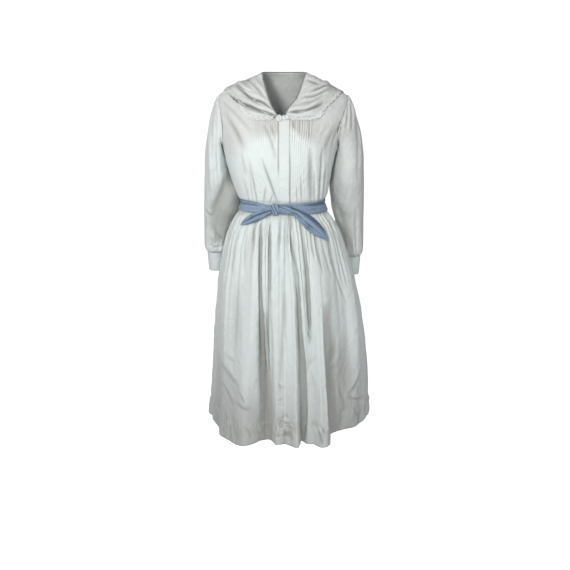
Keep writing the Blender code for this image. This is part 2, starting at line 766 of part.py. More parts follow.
def skirt_grid(folds, columns, gathers):
    """Points of a skirt panel between two of its seams, with the folds running down it."""
    places = np.linspace(0.0, len(folds) - 1.0, columns + 1)
    knots = np.arange(len(folds))
    tracks = [smooth_curve(knots, column(folds, i), places) for i in range(5)]
    waist_angle, hip_angle, hem_angle, hip_push, hem_push = tracks
    heights = skirt_heights()
    points = np.zeros((len(heights), columns + 1, 3))
    for r, height in enumerate(heights):
        left, right, front, back, middle, gather = section(SKIRT_SECTIONS, height)
        for c in range(columns + 1):
            stops = (WAIST, -0.46, FOLD_MIDDLE, HEM)
            angle = float(smooth_curve(
                stops, (waist_angle[c], waist_angle[c], hip_angle[c], hem_angle[c]), height))
            push = float(smooth_curve(stops, (0.0, 0.0, hip_push[c], hem_push[c]), height))
            phase = 2.0 * pi * gathers * c / columns
            uneven = 1.0 + 0.45 * sin(0.41 * phase + 1.0)
            push += gather * uneven * cos(phase + 0.9 * sin(0.23 * phase))
            point = section_point(left, right, front, back, middle, angle, height)
            ahead = section_point(left, right, front, back, middle, angle + 1.0, height)
            behind = section_point(left, right, front, back, middle, angle - 1.0, height)
            along = ahead - behind
            away = unit(np.array((along[1], -along[0], 0.0)))
            points[r, c] = point + away * push
    return points


def skirt_panel(name, folds, columns, gathers, cotton, seams):
    outer = skirt_grid(folds, columns, gathers)
    axis = np.array([(0.0, 0.0, height) for height in skirt_heights()])
    normals = grid_normals(outer, axis)
    for part, c, offset in seams:
        flatten(normals, (slice(None), c), part)
        outer[:, c, part] = outer[:, c, part] + offset
    flatten(normals, FIRST_ROW, 2)
    flatten(normals, LAST_ROW, 2)
    for part, c, offset in seams:
        for r in (0, -1):
            normals[r, c, part] = 0.0
            normals[r, c] = unit(normals[r, c])
    return wall(name, outer, normals, CLOTH, cotton)


def skirt(cotton):
    left_folds = FRONT_FOLDS[:CENTRE_FOLD + 1]
    right_folds = FRONT_FOLDS[CENTRE_FOLD:]
    half = SEAM / 2.0
    skirt_panel("skirt_front_right", left_folds, FRONT_COLUMNS, GATHERS, cotton,
                ((1, 0, -half), (0, -1, -half)))
    skirt_panel("skirt_front_left", right_folds, FRONT_COLUMNS, GATHERS, cotton,
                ((0, 0, half), (1, -1, -half)))
    skirt_panel("skirt_back", back_folds(), BACK_COLUMNS, 2 * GATHERS, cotton,
                ((1, 0, half), (1, -1, half)))


# Belt


def belt_base(angle, height):
    """The outermost point under the belt, on the bodice or on the crests of the skirt's gathers."""
    if height >= WAIST:
        return bodice_point(angle, height)
    gather = section(SKIRT_SECTIONS, height)[-1]
    point = skirt_point(angle, height)
    return point + unit(point * (1.0, 1.0, 0.0)) * gather * 1.5


def belt_point(angle, height, ripple):
    """A point of the belt's outer face."""
    base = belt_base(angle, height)
    return base + unit(base * (1.0, 1.0, 0.0)) * (BELT_CLEAR + BELT_CLOTH + ripple)


def belt_band(chambray):
    angles = np.linspace(-180.0, 180.0, BELT_COLUMNS, endpoint=False)
    rows = 5
    outer = np.zeros((rows, BELT_COLUMNS, 3))
    for c, angle in enumerate(angles):
        top, bottom = section(BELT_EDGES, angle)
        for r in range(rows):
            height = top + (bottom - top) * r / (rows - 1.0)
            ripple = BELT_RIPPLE * (1.0 + sin(pi * r / 2.0 + radians(3.0 * angle)))
            outer[r, c] = belt_point(angle, height, ripple)
    normals = grid_normals(outer, outer.mean(axis=1), ring=True)
    return wall("belt_band", outer, normals, BELT_CLOTH, chambray, ring=True)


def front_cover(x, height):
    """How far forward the belt, or the skirt below it, reaches at a point of the front."""
    low = -0.426
    under = min(height, WAIST)
    skirt_y = skirt_point(angle_of(x, under, SKIRT_SECTIONS), under)[1]
    skirt_y -= 1.5 * section(SKIRT_SECTIONS, under)[-1]
    level = max(height, low)
    belt_y = belt_point(angle_of(x, min(level, WAIST)), level, 2.0 * BELT_RIPPLE)[1]
    fade = min(1.0, max(0.0, (low - height) / 0.012))
    return min(skirt_y, belt_y + (skirt_y - belt_y) * fade)


def belt_tail(name, stations, chambray):
    """A pointed tail: a folded strip along its stations, lying on the front of the skirt."""
    across = (-1.0, -0.5, 0.0, 0.5, 1.0)
    path = np.array([(x, height) for x, height, width, stand_off in stations])
    run = unit(np.gradient(path, axis=0))
    outer = np.zeros((len(stations), len(across), 3))
    for r, (x, height, width, stand_off) in enumerate(stations):
        for c, share in enumerate(across):
            px = x - run[r, 1] * share * width / 2.0
            pz = height + run[r, 0] * share * width / 2.0
            ridge = TAIL_RIDGE * (1.0 - abs(share)) * min(1.0, width / 0.02)
            outer[r, c] = (px, front_cover(px, pz) - stand_off - ridge, pz)
    axis = np.array([(0.0, 0.0, row[1]) for row in stations])
    normals = grid_normals(outer, axis)
    return wall(name, outer, normals, BELT_CLOTH, chambray)


def belt_knot(chambray):
    """The tied knot, a flattened lump with the creases of the wrapped cloth."""
    x, height = -0.0265, -0.4035
    width, tall, deep = 0.031, 0.031, 0.013
    centre = np.array((x, front_cover(x, height) - deep / 2.0 - KNOT_CLEAR, height))
    lump = bmesh.new()
    bmesh.ops.create_uvsphere(lump, u_segments=20, v_segments=12, radius=1.0)
    for vert in lump.verts:
        x1, y1, z1 = (power(value, 0.7) for value in vert.co)
        crease = 1.0 - 0.09 * cos(5.0 * pi * x1) * (1.0 - abs(z1) ** 3)
        waist = 1.0 - 0.12 * (1.0 - abs(z1))
        vert.co = centre + np.array((
            x1 * width / 2.0 * waist, y1 * deep / 2.0 * crease, z1 * tall / 2.0,
        ))
    return finish("belt_knot", lump, chambray)


def build():
    clear_scene()
    cotton = finish_material("white_cotton", (0.80, 0.82, 0.81), 0.85)
    chambray = finish_material("blue_chambray", (0.25, 0.34, 0.53), 0.88)
    pearl = finish_material("pearl_button", (0.82, 0.82, 0.79), 0.30)
    for side in ("left", "right"):
        front_panel(side, cotton)
        sleeve(side, cotton)
        points, normals = cuff(side, cotton)
        cuff_button(side, points, normals, pearl)
    back_panel(cotton)
    placket(cotton)
    collar(cotton)
    collar_tab(cotton)
    skirt(cotton)
    belt_band(chambray)
    belt_knot(chambray)
    for name, stations in BELT_TAILS.items():
        belt_tail(name, stations, chambray)


build()
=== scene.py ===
from math import pi, radians

import bmesh
import bpy
import numpy as np
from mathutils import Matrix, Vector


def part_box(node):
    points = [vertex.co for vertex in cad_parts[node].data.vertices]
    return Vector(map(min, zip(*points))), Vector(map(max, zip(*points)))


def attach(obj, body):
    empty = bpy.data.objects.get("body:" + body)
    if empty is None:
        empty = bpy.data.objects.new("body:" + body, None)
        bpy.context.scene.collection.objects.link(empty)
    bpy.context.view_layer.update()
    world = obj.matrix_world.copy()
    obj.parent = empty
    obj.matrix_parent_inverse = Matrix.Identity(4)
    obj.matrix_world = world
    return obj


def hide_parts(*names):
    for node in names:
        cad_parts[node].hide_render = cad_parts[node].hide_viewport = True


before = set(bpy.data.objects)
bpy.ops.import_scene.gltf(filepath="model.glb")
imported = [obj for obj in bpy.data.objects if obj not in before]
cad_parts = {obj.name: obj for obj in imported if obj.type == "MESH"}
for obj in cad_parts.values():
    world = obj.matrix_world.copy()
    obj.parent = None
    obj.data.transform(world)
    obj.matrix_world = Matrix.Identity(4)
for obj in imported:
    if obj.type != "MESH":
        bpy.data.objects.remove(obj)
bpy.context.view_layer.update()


def metres(rows):
    """The rows of a table that is written in millimetres."""
    return [tuple(value / 1000 for value in row) for row in rows]


# Driving dimensions
SHELL = 0.0008              # thickness of the shown cloth
CLOTH = 0.0015              # wall that the placket and the cuffs clear
SEAM = 0.0003               # step between pieces that are sewn to each other
CENTRE_X = -0.003           # centre front line
SHOULDER_TIP = -0.066       # height of the outer end of the shoulder seam
UNDERARM = -0.215
NECK_POINT = -0.004
V_POINT = -0.128
WAIST = -0.400
HEM = -1.132
FLOOR = -1.480
ROUND = 2.3                 # squareness of the body sections, 2 is an ellipse
PLACKET_WIDTH = 0.034
CUFF_HEIGHT = 0.063
CUFF_LEAN = 0.010
HEM_DEPTH = 0.060
HEM_LINE = HEM + HEM_DEPTH  # height of the hem's stitches
STITCH = 0.00028            # half the thickness of the sewing thread
SEAM_THREAD = 0.0021        # the same of the skirt's centre seam
PLACKET_STITCH = 0.0032     # from stitch to stitch
CUFF_STITCH = 0.0034
HEM_STITCH = 0.0042
SEAM_STITCH = 0.0080        # of the skirt's centre seam
SEAM_SHOWN = (-1.087, -0.786)  # heights between which its stitches are seen
CUFF_SEWN = (0.07, 0.93)    # where the stitches of a cuff lie, as shares of its height

BODICE_SECTIONS = metres([
    # height, left, right, front, back
    (0, 67, 62, 12, 62),
    (-20, 107, 99, 24, 76),
    (-35, 146, 128, 36, 84),
    (-50, 183, 160, 48, 91),
    (-66, 202, 190, 60, 98),
    (-80, 207, 199, 71, 103),
    (-120, 209, 196, 101, 113),
    (-160, 205, 183, 117, 118),
    (-215, 194, 164, 127, 118),
    (-270, 183, 151, 131, 113),
    (-330, 166, 140, 124, 105),
    (-366, 153, 134, 116, 99),
    (-377, 148, 130, 113, 96),
    (-387.5, 138, 123, 106, 91),
    (-400, 137, 122, 105, 90),
])
SKIRT_SECTIONS = metres([
    # height, left, right, front, back, middle, gather
    (-400, 137, 122, 105, 90, 0, 0.6),
    (-418, 142, 128, 110, 94, 0, 1.5),
    (-440, 157, 143, 121, 103, 0, 3),
    (-480, 177, 169, 135, 118, 1, 3.6),
    (-550, 197, 195, 153, 131, 3, 2.8),
    (-660, 215, 228, 176, 155, 6, 1.4),
    (-800, 226, 253, 196, 187, 11, 0.5),
    (-960, 233, 268, 213, 206, 16, 0),
    (-1132, 246, 273, 226, 222, 20, 0),
])
GATHERED = -0.460           # above this height the folds keep the waist's angles
GATHERS_END = -0.560        # the rows are closer together above this height
FOLD_MIDDLE = -0.680
FRONT_FOLDS = [
    # waist_angle, hip_angle, hem_angle, hip_push, hem_push
    (-90, -90, -92, 0, 0),
    (-74, -74, -69, -0.004, -0.016),
    (-58, -57, -53, 0.003, 0.006),
    (-44, -43, -41, -0.004, 0.016),
    (-32, -29, -27, 0.005, 0.036),
    (-22, -17, -15.5, -0.013, -0.028),
    (-17, -13.5, -11, -0.002, -0.034),
    (-12.5, -10, -7.6, -0.007, -0.026),
    (-7, -6, -4.2, 0.004, 0.006),
    (0, 0, 0, 0, -0.004),
    (2.2, 4.6, 5.6, 0.004, 0.026),
    (4.6, 7.8, 9, -0.015, -0.026),
    (10, 11, 12.4, 0.004, 0),
    (16.6, 15.4, 16, -0.013, 0.004),
    (22, 19.5, 20, 0.005, 0.038),
    (30, 26, 25.5, 0.007, 0.026),
    (42, 37, 35.5, -0.006, -0.050),
    (55, 52, 52, -0.009, -0.056),
    (68, 65, 66, 0.004, -0.034),
    (79, 78, 78, -0.004, -0.022),
    (90, 90, 90, 0, 0),
]
CENTRE_FOLD = 9
BACK_FOLDS = 16
BACK_HIP_PUSH = 0.006
BACK_HEM_PUSH = 0.020
GATHERS = 11

NECKLINE = {
    "left": metres([
        # height, x
        (0, -68), (-20, -66.5), (-45, -58), (-77, -48),
        (-100, -38), (-123.3, -22), (-128, -3),
    ]),
    "right": metres([
        (0, 62.5), (-25, 54), (-50, 45), (-77, 33),
        (-100, 11), (-123.3, 0), (-128, -3),
    ]),
}
ARM_CURVE = {
    # panel: (angle at the top, growth down to the underarm)
    ("left", "front"): (22, 3),
    ("right", "front"): (24, 9),
    ("left", "back"): (26, 4),
    ("right", "back"): (26, 4),
}
TUCK_START = 0.0205
TUCK_PITCH = 0.0072
TUCK_ZONE = 0.088
TUCK_LEVEL = -0.150
TUCK_STANDS = metres([
    # height, how far the tucks stand up there
    (-70, 0), (-110, 2.1), (-185, 1.7), (-220, 0.9), (-330, 0.8), (-400, 0.5),
])
# The share of that for each tuck, from the placket outwards.
TUCK_SIZE = {
    "left": (0.5, 0.8, 0.6, 0.4, 0.6, 0.4, 0.3, 0.45, 0.3),
    "right": (0.9, 0.8, 0.5, 0.7, 0.9, 0.5, 0.7, 0.4, 0.5),
}

SLEEVES = {
    "left": metres([
        # height, outer, inner, front, back, gather
        (-285, 254, 182, -40, 110, 0),
        (-330, 257, 164, -30, 118, 0),
        (-375, 260, 146, -10, 125, 0),
        (-420, 263, 142, 12, 133, 0),
        (-465, 265, 160, 36, 142, 0.4),
        (-510, 265.5, 174, 52, 150, 1),
        (-545, 265, 184, 58, 155, 2),
        (-567, 262, 193, 62, 155, 2.2),
        (-576.5, 258.5, 201, 74, 148, 0.6),
    ]),
    "right": metres([
        (-285, 249, 148.5, -45, 110, 0),
        (-330, 252, 142, -34, 118, 0),
        (-375, 254, 145, -12, 125, 0),
        (-420, 256, 150, 12, 133, 0),
        (-465, 257, 162, 36, 141, 0.4),
        (-510, 258, 172, 52, 150, 1),
        (-555, 257.5, 184, 60, 156, 2),
        (-580, 255, 190, 64, 156, 2.2),
        (-590.5, 252, 197, 76, 150, 0.6),
    ]),
}
SLEEVE_GATHERS = 9
FOREARM = -0.460            # below this height the rows are closer together
SHADE_EDGE = {
    # height, x where the sleeve turns from the light
    "left": metres([
        (-290, 150), (-345, 182), (-397, 206), (-440, 228),
        (-480, 234.5), (-512, 230), (-540, 212), (-560, 190),
    ]),
    "right": metres([(-120, 166), (-250, 166), (-360, 176), (-440, 205), (-520, 222), (-570, 214)]),
}
BUTTON_PROFILE = metres([
    # distance from the middle, height
    (0, 0.7), (3, 0.7), (3.6, 1.2), (4.7, 1.4), (5.4, 0.8), (5.5, 0), (5, -0.9), (0, -1),
])

COLLAR_EDGE = [
    # place along the collar, angle, height
    (0, -8, -0.136),
    (0.070, -20.5, -0.137),
    (0.095, -26, -0.1345),
    (0.120, -32, -0.1225),
    (0.150, -38.5, -0.099),
    (0.185, -49, -0.0725),
    (0.215, -70, -0.053),
    (0.250, -90, -0.046),
    (0.285, -108, -0.060),
    (0.335, -127, -0.098),
    (0.410, -152, -0.143),
    (0.500, -180, -0.160),
    (0.590, -208, -0.143),
    (0.665, -233, -0.098),
    (0.715, -252, -0.065),
    (0.750, -270, -0.052),
    (0.785, -290, -0.058),
    (0.820, -309, -0.072),
    (0.850, -320.5, -0.093),
    (0.880, -326, -0.108),
    (0.905, -331, -0.130),
    (0.930, -340, -0.137),
    (1, -357, -0.136),
]
COLLAR_NECK = [
    # place along the collar, height of its inner edge
    (0, -0.121), (0.08, -0.095), (0.17, -0.055), (0.26, -0.003), (0.38, 0), (0.50, 0),
    (0.62, 0), (0.74, -0.003), (0.83, -0.055), (0.92, -0.095), (1, -0.121),
]
COLLAR_ROWS = [
    # share, lift, fold
    (0, 0.0040, 0),
    (0.22, 0.0052, 0.0028),
    (0.42, 0.0055, -0.0008),
    (0.62, 0.0060, 0.0060),
    (0.84, 0.0055, -0.0006),
    (1, 0.0048, 0.0010),
]
SCALLOP = 0.0040            # depth of the scallops along the collar's edge
SCALLOP_PITCH = 0.0165
COLLAR_ROLL = 0.0022        # how far its inner edge turns down
COLLAR_COVER = metres([
    # x, height down to which the collar covers the bodice
    (0, -138), (80, -138), (110, -122), (140, -98), (170, -68), (200, -50),
])
CHEST_SHADE_LINE = metres([
    # x, height down to which the upper chest gets the warmer painted shade
    (-190, -235), (-152, -235), (-125, -210), (-112, -195), (-60, -180), (-24, -178), (0, -150),
    (21, -160), (38, -177), (57, -190), (102, -208), (116, -224), (160, -250),
])
TAB_FOLDS = [
    # node, x, height, width, tall, deep, seat, ridges
    ("collar_tab", -0.0175, -0.1295, 0.0160, 0.020, 0.0066, 0.0024, 1.1),
    ("collar_tab_end", 0.0015, -0.1275, 0.0220, 0.015, 0.0056, 0.0058, 1.6),
]
SNAP_PLACE = (-0.0325, -0.1275)

BELT_EDGES = [
    # angle, top, bottom
    (-180, -0.384, -0.419), (-90, -0.3815, -0.416), (-45, -0.383, -0.4170),
    (-12, -0.390, -0.4165), (0, -0.3865, -0.418), (45, -0.385, -0.420),
    (90, -0.3855, -0.420), (180, -0.384, -0.419),
]
BELT_OUT = 0.0042           # from the bodice to the belt's outer face
BELT_RIPPLE = 0.0006
BELT_WIDTH = 0.040          # of the band, and of its ends before they are folded and tied
BELT_LOW = -0.426           # below this height the tails leave the belt for the skirt
BELT_TAILS = {
    "belt_tail_right": metres([
        # x, height, width, stand_off
        (-34, -405, 10, 6),
        (-43, -409, 14, 5.6),
        (-62, -416, 21, 5.8),
        (-84, -425, 25, 6),
        (-106, -436, 23, 5.4),
        (-124, -446, 15, 4.8),
        (-138, -455, 2, 4.5),
    ]),
    "belt_tail_left": metres([
        (-16.5, -406.5, 18, 6.2),
        (-10.5, -406.5, 22, 7),
        (12, -404.5, 26, 7.8),
        (32, -410, 27, 7.6),
        (56, -428, 34, 6.6),
        (80, -449, 39, 5.2),
        (103, -470, 33, 4.6),
        (120, -487, 17, 4.5),
        (132, -501, 2, 4.5),
    ]),
}
# Creases of the tails: across is -1 at the upper edge and 1 at the lower one.
TAIL_CREASES = {
    "belt_tail_right": [
        # across at the knot, across at the tip, width, depth
        (-0.35, -0.20, 0.22, -0.0034), (0.70, 0.70, 0.16, -0.0022), (0.25, 0.25, 0.20, 0.0012),
    ],
    "belt_tail_left": [
        (0.30, 0.95, 0.20, -0.0044), (-0.40, -0.15, 0.10, -0.0020), (0, 0.25, 0.16, 0.0014),
        (-0.75, -0.55, 0.08, -0.0018),
    ],
}
KNOT_RIDGES = 2.5
KNOT_ROLLS = [
    # name, x, height, width, tall, deep, stand_off, turn, upright
    ("belt_knot_wrap", -0.0300, -0.4030, 0.0300, 0.0370, 0.0130, 0.0030, 0.10, True),
    ("belt_knot_roll", -0.0020, -0.4030, 0.0420, 0.0240, 0.0105, 0.0022, -0.12, False),
]

COTTON_COOL = (0.752, 0.808, 0.797, 1)
# Painted shade: a warmer, darker grey where the cloth turns from the light, and darker tones that multiply
# the cloth's colour in creases, under edges and in turned-away parts.
COTTON_WARM_SHADE = (0.672, 0.684, 0.671, 1)
COTTON_PAINTED_SHADE = (0.635, 0.610, 0.590, 1)
COLLAR_PAINTED_SHADE = (0.36, 0.35, 0.34, 1)
SATIN = (0.86, 0.86, 0.84, 1)
COTTON_SHINE = {"Roughness": 0.72, "Specular IOR Level": 0.30, "Sheen Weight": 0.12, "Sheen Roughness": 0.5}
CHAMBRAY_DEEP = (0.140, 0.205, 0.320, 1)
CHAMBRAY_PALE = (0.455, 0.560, 0.665, 1)
CHAMBRAY_WORN = (0.285, 0.380, 0.510, 1)
CHAMBRAY_SHADE = (0.040, 0.065, 0.110, 1)
CHAMBRAY_SHINE = {"Roughness": 0.80, "Specular IOR Level": 0.25, "Sheen Weight": 0.15}

BODICE_FRONTS = ["bodice_front_right_cloth", "bodice_front_left_cloth"]
BODICE_CLOTH = BODICE_FRONTS + ["bodice_back_cloth"]

# Creases listed one by one, in millimetres. A positive depth is a ridge and a negative one a trough; the
# lip is a softer rise beside it, on the left of the line as it is followed.
CHEST_CREASES = [
    # width, depth, lip, then x and height of each point along it
    (8, -3, 1.5, -191, -82, -150, -117, -105, -166),
    (9, -2.6, 1.3, -184, -109, -151, -167, -120, -225),
    (5, -1.8, 0.7, -166, -140, -140, -180, -130, -215),
    (2.7, -5.8, 2, -107, -262, -100, -305, -91, -350, -84, -394),
    (3.6, -5, 2, -69, -250, -52, -300, -34, -350, -21, -394),
    (5, -3, 1, -62, -150, -40, -195, -28, -250),
    (4, -2.6, 0.8, -44, -145, -32, -175, -26, -210),
    (2.4, -3.4, 1, -34, -355, -44, -376, -48, -396),
    (4, -2.6, 0.8, -132, -230, -127, -265, -119, -300),
    (2.4, -3.4, 1, -126, -320, -116, -355, -108, -394),
    (2.4, -2.8, 0.8, -116, -262, -106, -310, -98, -385),
    (2.6, -3.4, 1.2, -58, -330, -62, -360, -66, -394),
    (7.5, -5, 1.6, 78, -225, 79, -300, 81, -394),
    (2.4, -5, 1.8, 90, -285, 91.5, -330, 92, -394),
    (3.4, -4.8, 1.8, 113, -225, 110, -300, 106, -394),
    (2.6, -3.6, 1.2, 126, -280, 122, -330, 118, -394),
    (2.2, -3.6, 1, 49, -300, 50, -340, 52, -394),
    (2.2, -3, 1, 36, -330, 36, -360, 38, -394),
    (8, -2.6, 1, 150, -160, 126, -215, 112, -260),
    (4.8, -2.8, 0.7, 172, -140, 150, -190, 140, -240),
    (3, -4, 1.2, 22.5, -134, 26, -148, 30, -160),
    (1.8, -3.4, 1.2, 43, -132, 43.4, -150, 43.8, -172),
    (2, -3.8, 1.4, 72, -132, 72.8, -160, 73.6, -190),
]
BACK_CREASES = [
    (9, -3, 1, -170, -120, -135, -170, -105, -215),
    (9, -2.8, 1, 165, -115, 125, -165, 100, -220),
    (6, -2.4, 0.8, -95, -255, -88, -320, -80, -385),
    (4.5, -2.2, 0.8, -62, -285, -59, -335, -55, -385),
    (4.5, -1.8, 0.6, -30, -270, -31, -330, -28, -385),
    (5, -2.2, 0.8, 6, -295, 4, -340, 5, -385),
    (6, -2.4, 0.8, 42, -250, 40, -320, 36, -385),
    (4.5, -1.8, 0.6, 74, -290, 70, -340, 66, -385),
    (6, -2.2, 0.8, 108, -240, 101, -310, 93, -385),
    (12, -2.2, 0.8, -80, -190, 0, -215, 75, -195),
]
COLLAR_CREASES = [
    (4.4, -8.8, 5.4, -170, -62, -146, -82, -111, -98, -69, -112, -36, -121, -22, -126),
    (5, -5.4, 4, -152, -40, -128, -56, -100, -76, -69, -85, -46, -102, -33, -110),
    (3.4, -4.8, 3, -150, -36, -122, -50, -104, -58),
    (5.6, -2.5, 1.9, -118, -18, -96, -34, -70, -62, -52, -90),
    (3.8, -2.8, 1.6, -120, -104, -98, -110, -78, -118, -60, -120),
    (4.2, -7.8, 5, 10, -115, 30, -113, 54, -112, 78, -106, 93, -101, 112, -90),
    (4.2, -6.2, 3.6, 72, -60, 100, -47, 125, -41, 148, -44),
    (5, -4.4, 3, 50, -74, 81, -71, 112, -59, 138, -50),
    (4.5, -2.5, 1.6, 48, -92, 80, -85, 112, -72),
    (4.6, -3.6, 2.2, 66, -24, 90, -32, 118, -38),
    (6, -3.4, 1.6, -150, -34, -118, -22, -86, -12),
]
SLEEVE_CREASES = {
    # side and face as seen from the front
    ("left", "front"): [
        (4.6, -2, 1.4, -238, -115, -243, -200, -241, -300, -240, -400),
        (4.2, -2, 1.4, -222, -110, -226, -200, -224, -300, -222, -370),
        (4.2, -2.8, 1.5, -211, -120, -210, -200, -209, -280, -208, -350),
        (2.9, -4.5, 1.8, -226, -88, -219, -98, -210, -94),
        (19, -15, 4, -168, -300, -184, -350, -206, -395, -226, -430, -232, -470, -230, -505),
        (8, -10, 3.6, -236, -492, -228, -512, -212, -530, -196, -545),
        (4.2, -4.5, 2.4, -258, -430, -250, -446, -240, -452),
        (3.7, -5.1, 1.8, -246, -550, -226, -556, -205, -552),
    ],
    ("left", "back"): [
        (7.8, -4.5, 1.8, -226, -130, -232, -230, -230, -330),
        (5, -3.9, 1.5, -200, -220, -206, -320, -204, -400),
        (7.8, -5.4, 2.4, -250, -390, -215, -405, -170, -400),
        (5, -4.2, 1.8, -245, -425, -210, -438, -175, -432),
        (4.2, -4.5, 1.8, -240, -500, -238, -535, -236, -570),
        (4.2, -4.5, 1.8, -216, -510, -217, -540, -218, -570),
    ],
    ("right", "front"): [
        (3.4, -5.1, 1.8, 181, -90, 178, -120, 172, -150, 166, -198, 158, -228),
        (3.4, -3.9, 1.5, 191, -86, 192, -120, 188, -165),
        (3.4, -3.9, 1.5, 203, -92, 206, -125, 205, -170),
        (4.2, -4.2, 1.5, 158, -160, 170, -163, 182, -162),
        (5, -3.3, 1.5, 222, -120, 228, -220, 226, -320),
        (11.2, -7.5, 3.3, 140, -380, 163, -422, 188, -464),
        (12.3, -9, 3, 176, -455, 192, -505, 210, -560),
        (5, -3.9, 2.1, 228, -420, 231, -490, 232, -560),
        (4.2, -3.9, 1.8, 200, -350, 190, -400, 178, -430),
        (3.7, -3.3, 1.5, 212, -500, 216, -540, 219, -583),
    ],
    ("right", "back"): [
        (7.8, -4.5, 1.8, 220, -130, 228, -230, 226, -330),
        (5, -3.6, 1.5, 190, -240, 197, -330, 196, -410),
        (7.8, -5.4, 2.4, 246, -395, 210, -410, 168, -402),
        (5, -4.2, 1.8, 240, -432, 205, -446, 172, -440),
        (4.2, -4.5, 1.8, 236, -510, 234, -550, 232, -583),
        (4.2, -4.5, 1.8, 212, -520, 213, -550, 214, -583),
    ],
}
SKIRT_CREASES = [
    (4.6, -11, 3, -72, -450, -74, -560, -74, -690, -66, -870, -61, -1000, -59, -1125),
    (15, -13, 2, -64, -720, -62, -870, -58, -1000, -57, -1120),
    (10, -8, 2, 56, -800, 63, -920, 65, -1000, 62, -1120),
    (4.4, -6, 1.8, -45, -450, -46, -560, -48, -690, -55, -840),
    (4.6, -8.8, 3, 36, -590, 43, -690, 49, -800, 56, -900, 60, -990, 57, -1125),
    (4.4, -8, 2.4, 67, -580, 73, -680, 78, -810),
    (4, 5, 0, 112, -700, 116, -800, 124, -930, 131, -1000, 133, -1130),
    (14, -10, 2, 126, -700, 134, -820, 142, -950, 150, -1050, 152, -1130),
    (7, -3.6, 1.6, 0, -660, -6, -760, -12, -900, -14, -1020),
    (3, -3.6, 1.2, -158, -470, -170, -530, -184, -620),
    (3.4, -3, 1.2, -140, -445, -153, -510, -166, -600),
    (3.8, -3.4, 1.4, -114, -450, -121, -505, -128, -590),
    (2.6, -5.6, 1.8, -92, -440, -95, -480, -98, -530),
    (3.4, -7.6, 2.4, -70, -428, -76, -470, -76, -560, -76, -700),
    (2.6, -5.6, 1.8, -45, -424, -45.6, -480, -47, -560),
    (4.6, -3.4, 1.6, -12, -424, -16, -480, -22, -550),
    (3, -8, 2.4, 10, -420, 15, -477, 21.3, -520, 30.4, -560, 39, -610),
    (4, -6, 2, 17, -420, 19, -440, 20, -470),
    (4, -8.4, 2.6, 45, -424, 51.7, -470, 60, -530, 69, -600),
    (2.6, -6.2, 2, 77, -450, 82, -505, 91, -550),
    (2.6, -5.8, 2, 91.2, -470, 100.3, -535, 118, -600),
    (2.6, -4.6, 1.8, 108, -480, 124, -545, 143, -610),
    (3, -5.2, 2, 118, -440, 133, -500, 152, -592, 178, -658, 197, -710),
    (3, -5.6, 2.6, 139, -445, 159, -505, 181, -590, 196, -650),
    (7.5, -4.2, 2, -204, -900, -171, -931, -143, -955),
    (4.5, -3.6, 2.2, -154, -1003, -130, -1014, -106, -1020),
    (5, -2.4, 1.2, -190, -864, -174, -872, -160, -876),
    (5, -2.8, 1.6, -200, -958, -180, -985, -166, -1012),
    (4, -3, 1.8, -148, -962, -132, -984, -124, -1000),
    (6, -3.2, 1.8, 95, -845, 82, -870, 70, -895),
    (3.2, -3.2, 1.8, 69, -770, 73, -784, 78, -795),
    (4, -3.4, 2, 154, -872, 148, -887, 136, -890),
    (3.4, -2.6, 1.6, 190, -1002, 192, -1028, 198, -1056),
    (3.4, -2.8, 1.8, 212, -996, 214, -1020, 220, -1048),
    (3.4, -2.4, 1.6, 236, -990, 240, -1015, 243, -1040),
    (3.4, -2.6, 1.6, -188, -1045, -184, -1070, -182, -1100),
    (3.4, -2.4, 1.4, -164, -1056, -160, -1082, -156, -1112),
    (8, -3.2, 1.4, 162, -777, 152, -885, 146, -950),
    (6, -4, 2, 170, -950, 180, -1000, 198, -1076),
    (6, -4, 2, 206, -1020, 226, -990, 245, -950),
    (3.8, -4.4, 2.6, 204, -1022, 234, -1034, 263, -1050),
    (3.8, -4.6, 2.8, 94, -1059, 104, -1080, 113, -1110, 118, -1128),
    (3.8, -4, 2.4, 103, -1060, 118, -1075, 130, -1092),
    (4, 4.6, 0, -24, -1040, -4, -1052, 10, -1058, 24, -1061, 38, -1047),
    (3.6, -3, 2, -20, -930, -14, -945, -4, -950),
    (3.6, -3, 2, -30, -985, -18, -990, -4, -982),
    (4, -3.6, 2.2, 80, -900, 90, -930, 88, -962),
    (3.6, -3.2, 2.2, 226, -1060, 232, -1085, 244, -1104),
    (3.6, -3, 2, -128, -1070, -112, -1086, -108, -1112),
    (5, -2.2, 1.2, -88, -1090, -80, -1110, -76, -1130),
    (12, -2.6, 1.2, -150, -640, -152, -740, -158, -840),
    (8, -1.8, 0.8, -14, -560, -4, -640, 2, -760),
]
SKIRT_BACK_CREASES = [
    (12, -3.6, 1.6, -200, -900, -150, -950, -110, -1020),
    (10, -3, 1.4, 205, -880, 160, -930, 130, -1000),
    (8, -2.4, 1.2, -60, -800, -30, -850, 0, -920),
    (6, -2.4, 1.2, 30, -1050, 50, -1080, 60, -1125),
    (6, -2.4, 1.2, -120, -1055, -100, -1080, -95, -1125),
]


# Curves and sections


def smooth_curve(places, values, at):
    """A curve through the given values that never swings past them."""
    x = np.asarray(places, dtype=float)
    y = np.asarray(values, dtype=float)
    if x[0] > x[-1]:
        x = x[::-1]
        y = y[::-1]
    step = np.diff(x)
    slope = np.diff(y) / step
    tangent = np.zeros_like(y)
    for i in range(1, len(y) - 1):
        if slope[i - 1] * slope[i] > 0:
            tangent[i] = 2 * slope[i - 1] * slope[i] / (slope[i - 1] + slope[i])
    tangent[0] = slope[0]
    tangent[-1] = slope[-1]
    at = np.clip(np.asarray(at, dtype=float), x[0], x[-1])
    i = np.clip(np.searchsorted(x, at, side="right") - 1, 0, len(step) - 1)
    t = (at - x[i]) / step[i]
    t2 = t * t
    t3 = t2 * t
    return (
        (2 * t3 - 3 * t2 + 1) * y[i]
        + (t3 - 2 * t2 + t) * step[i] * tangent[i]
        + (3 * t2 - 2 * t3) * y[i + 1]
        + (t3 - t2) * step[i] * tangent[i + 1]
    )


def column(table, index):
    return [row[index] for row in table]


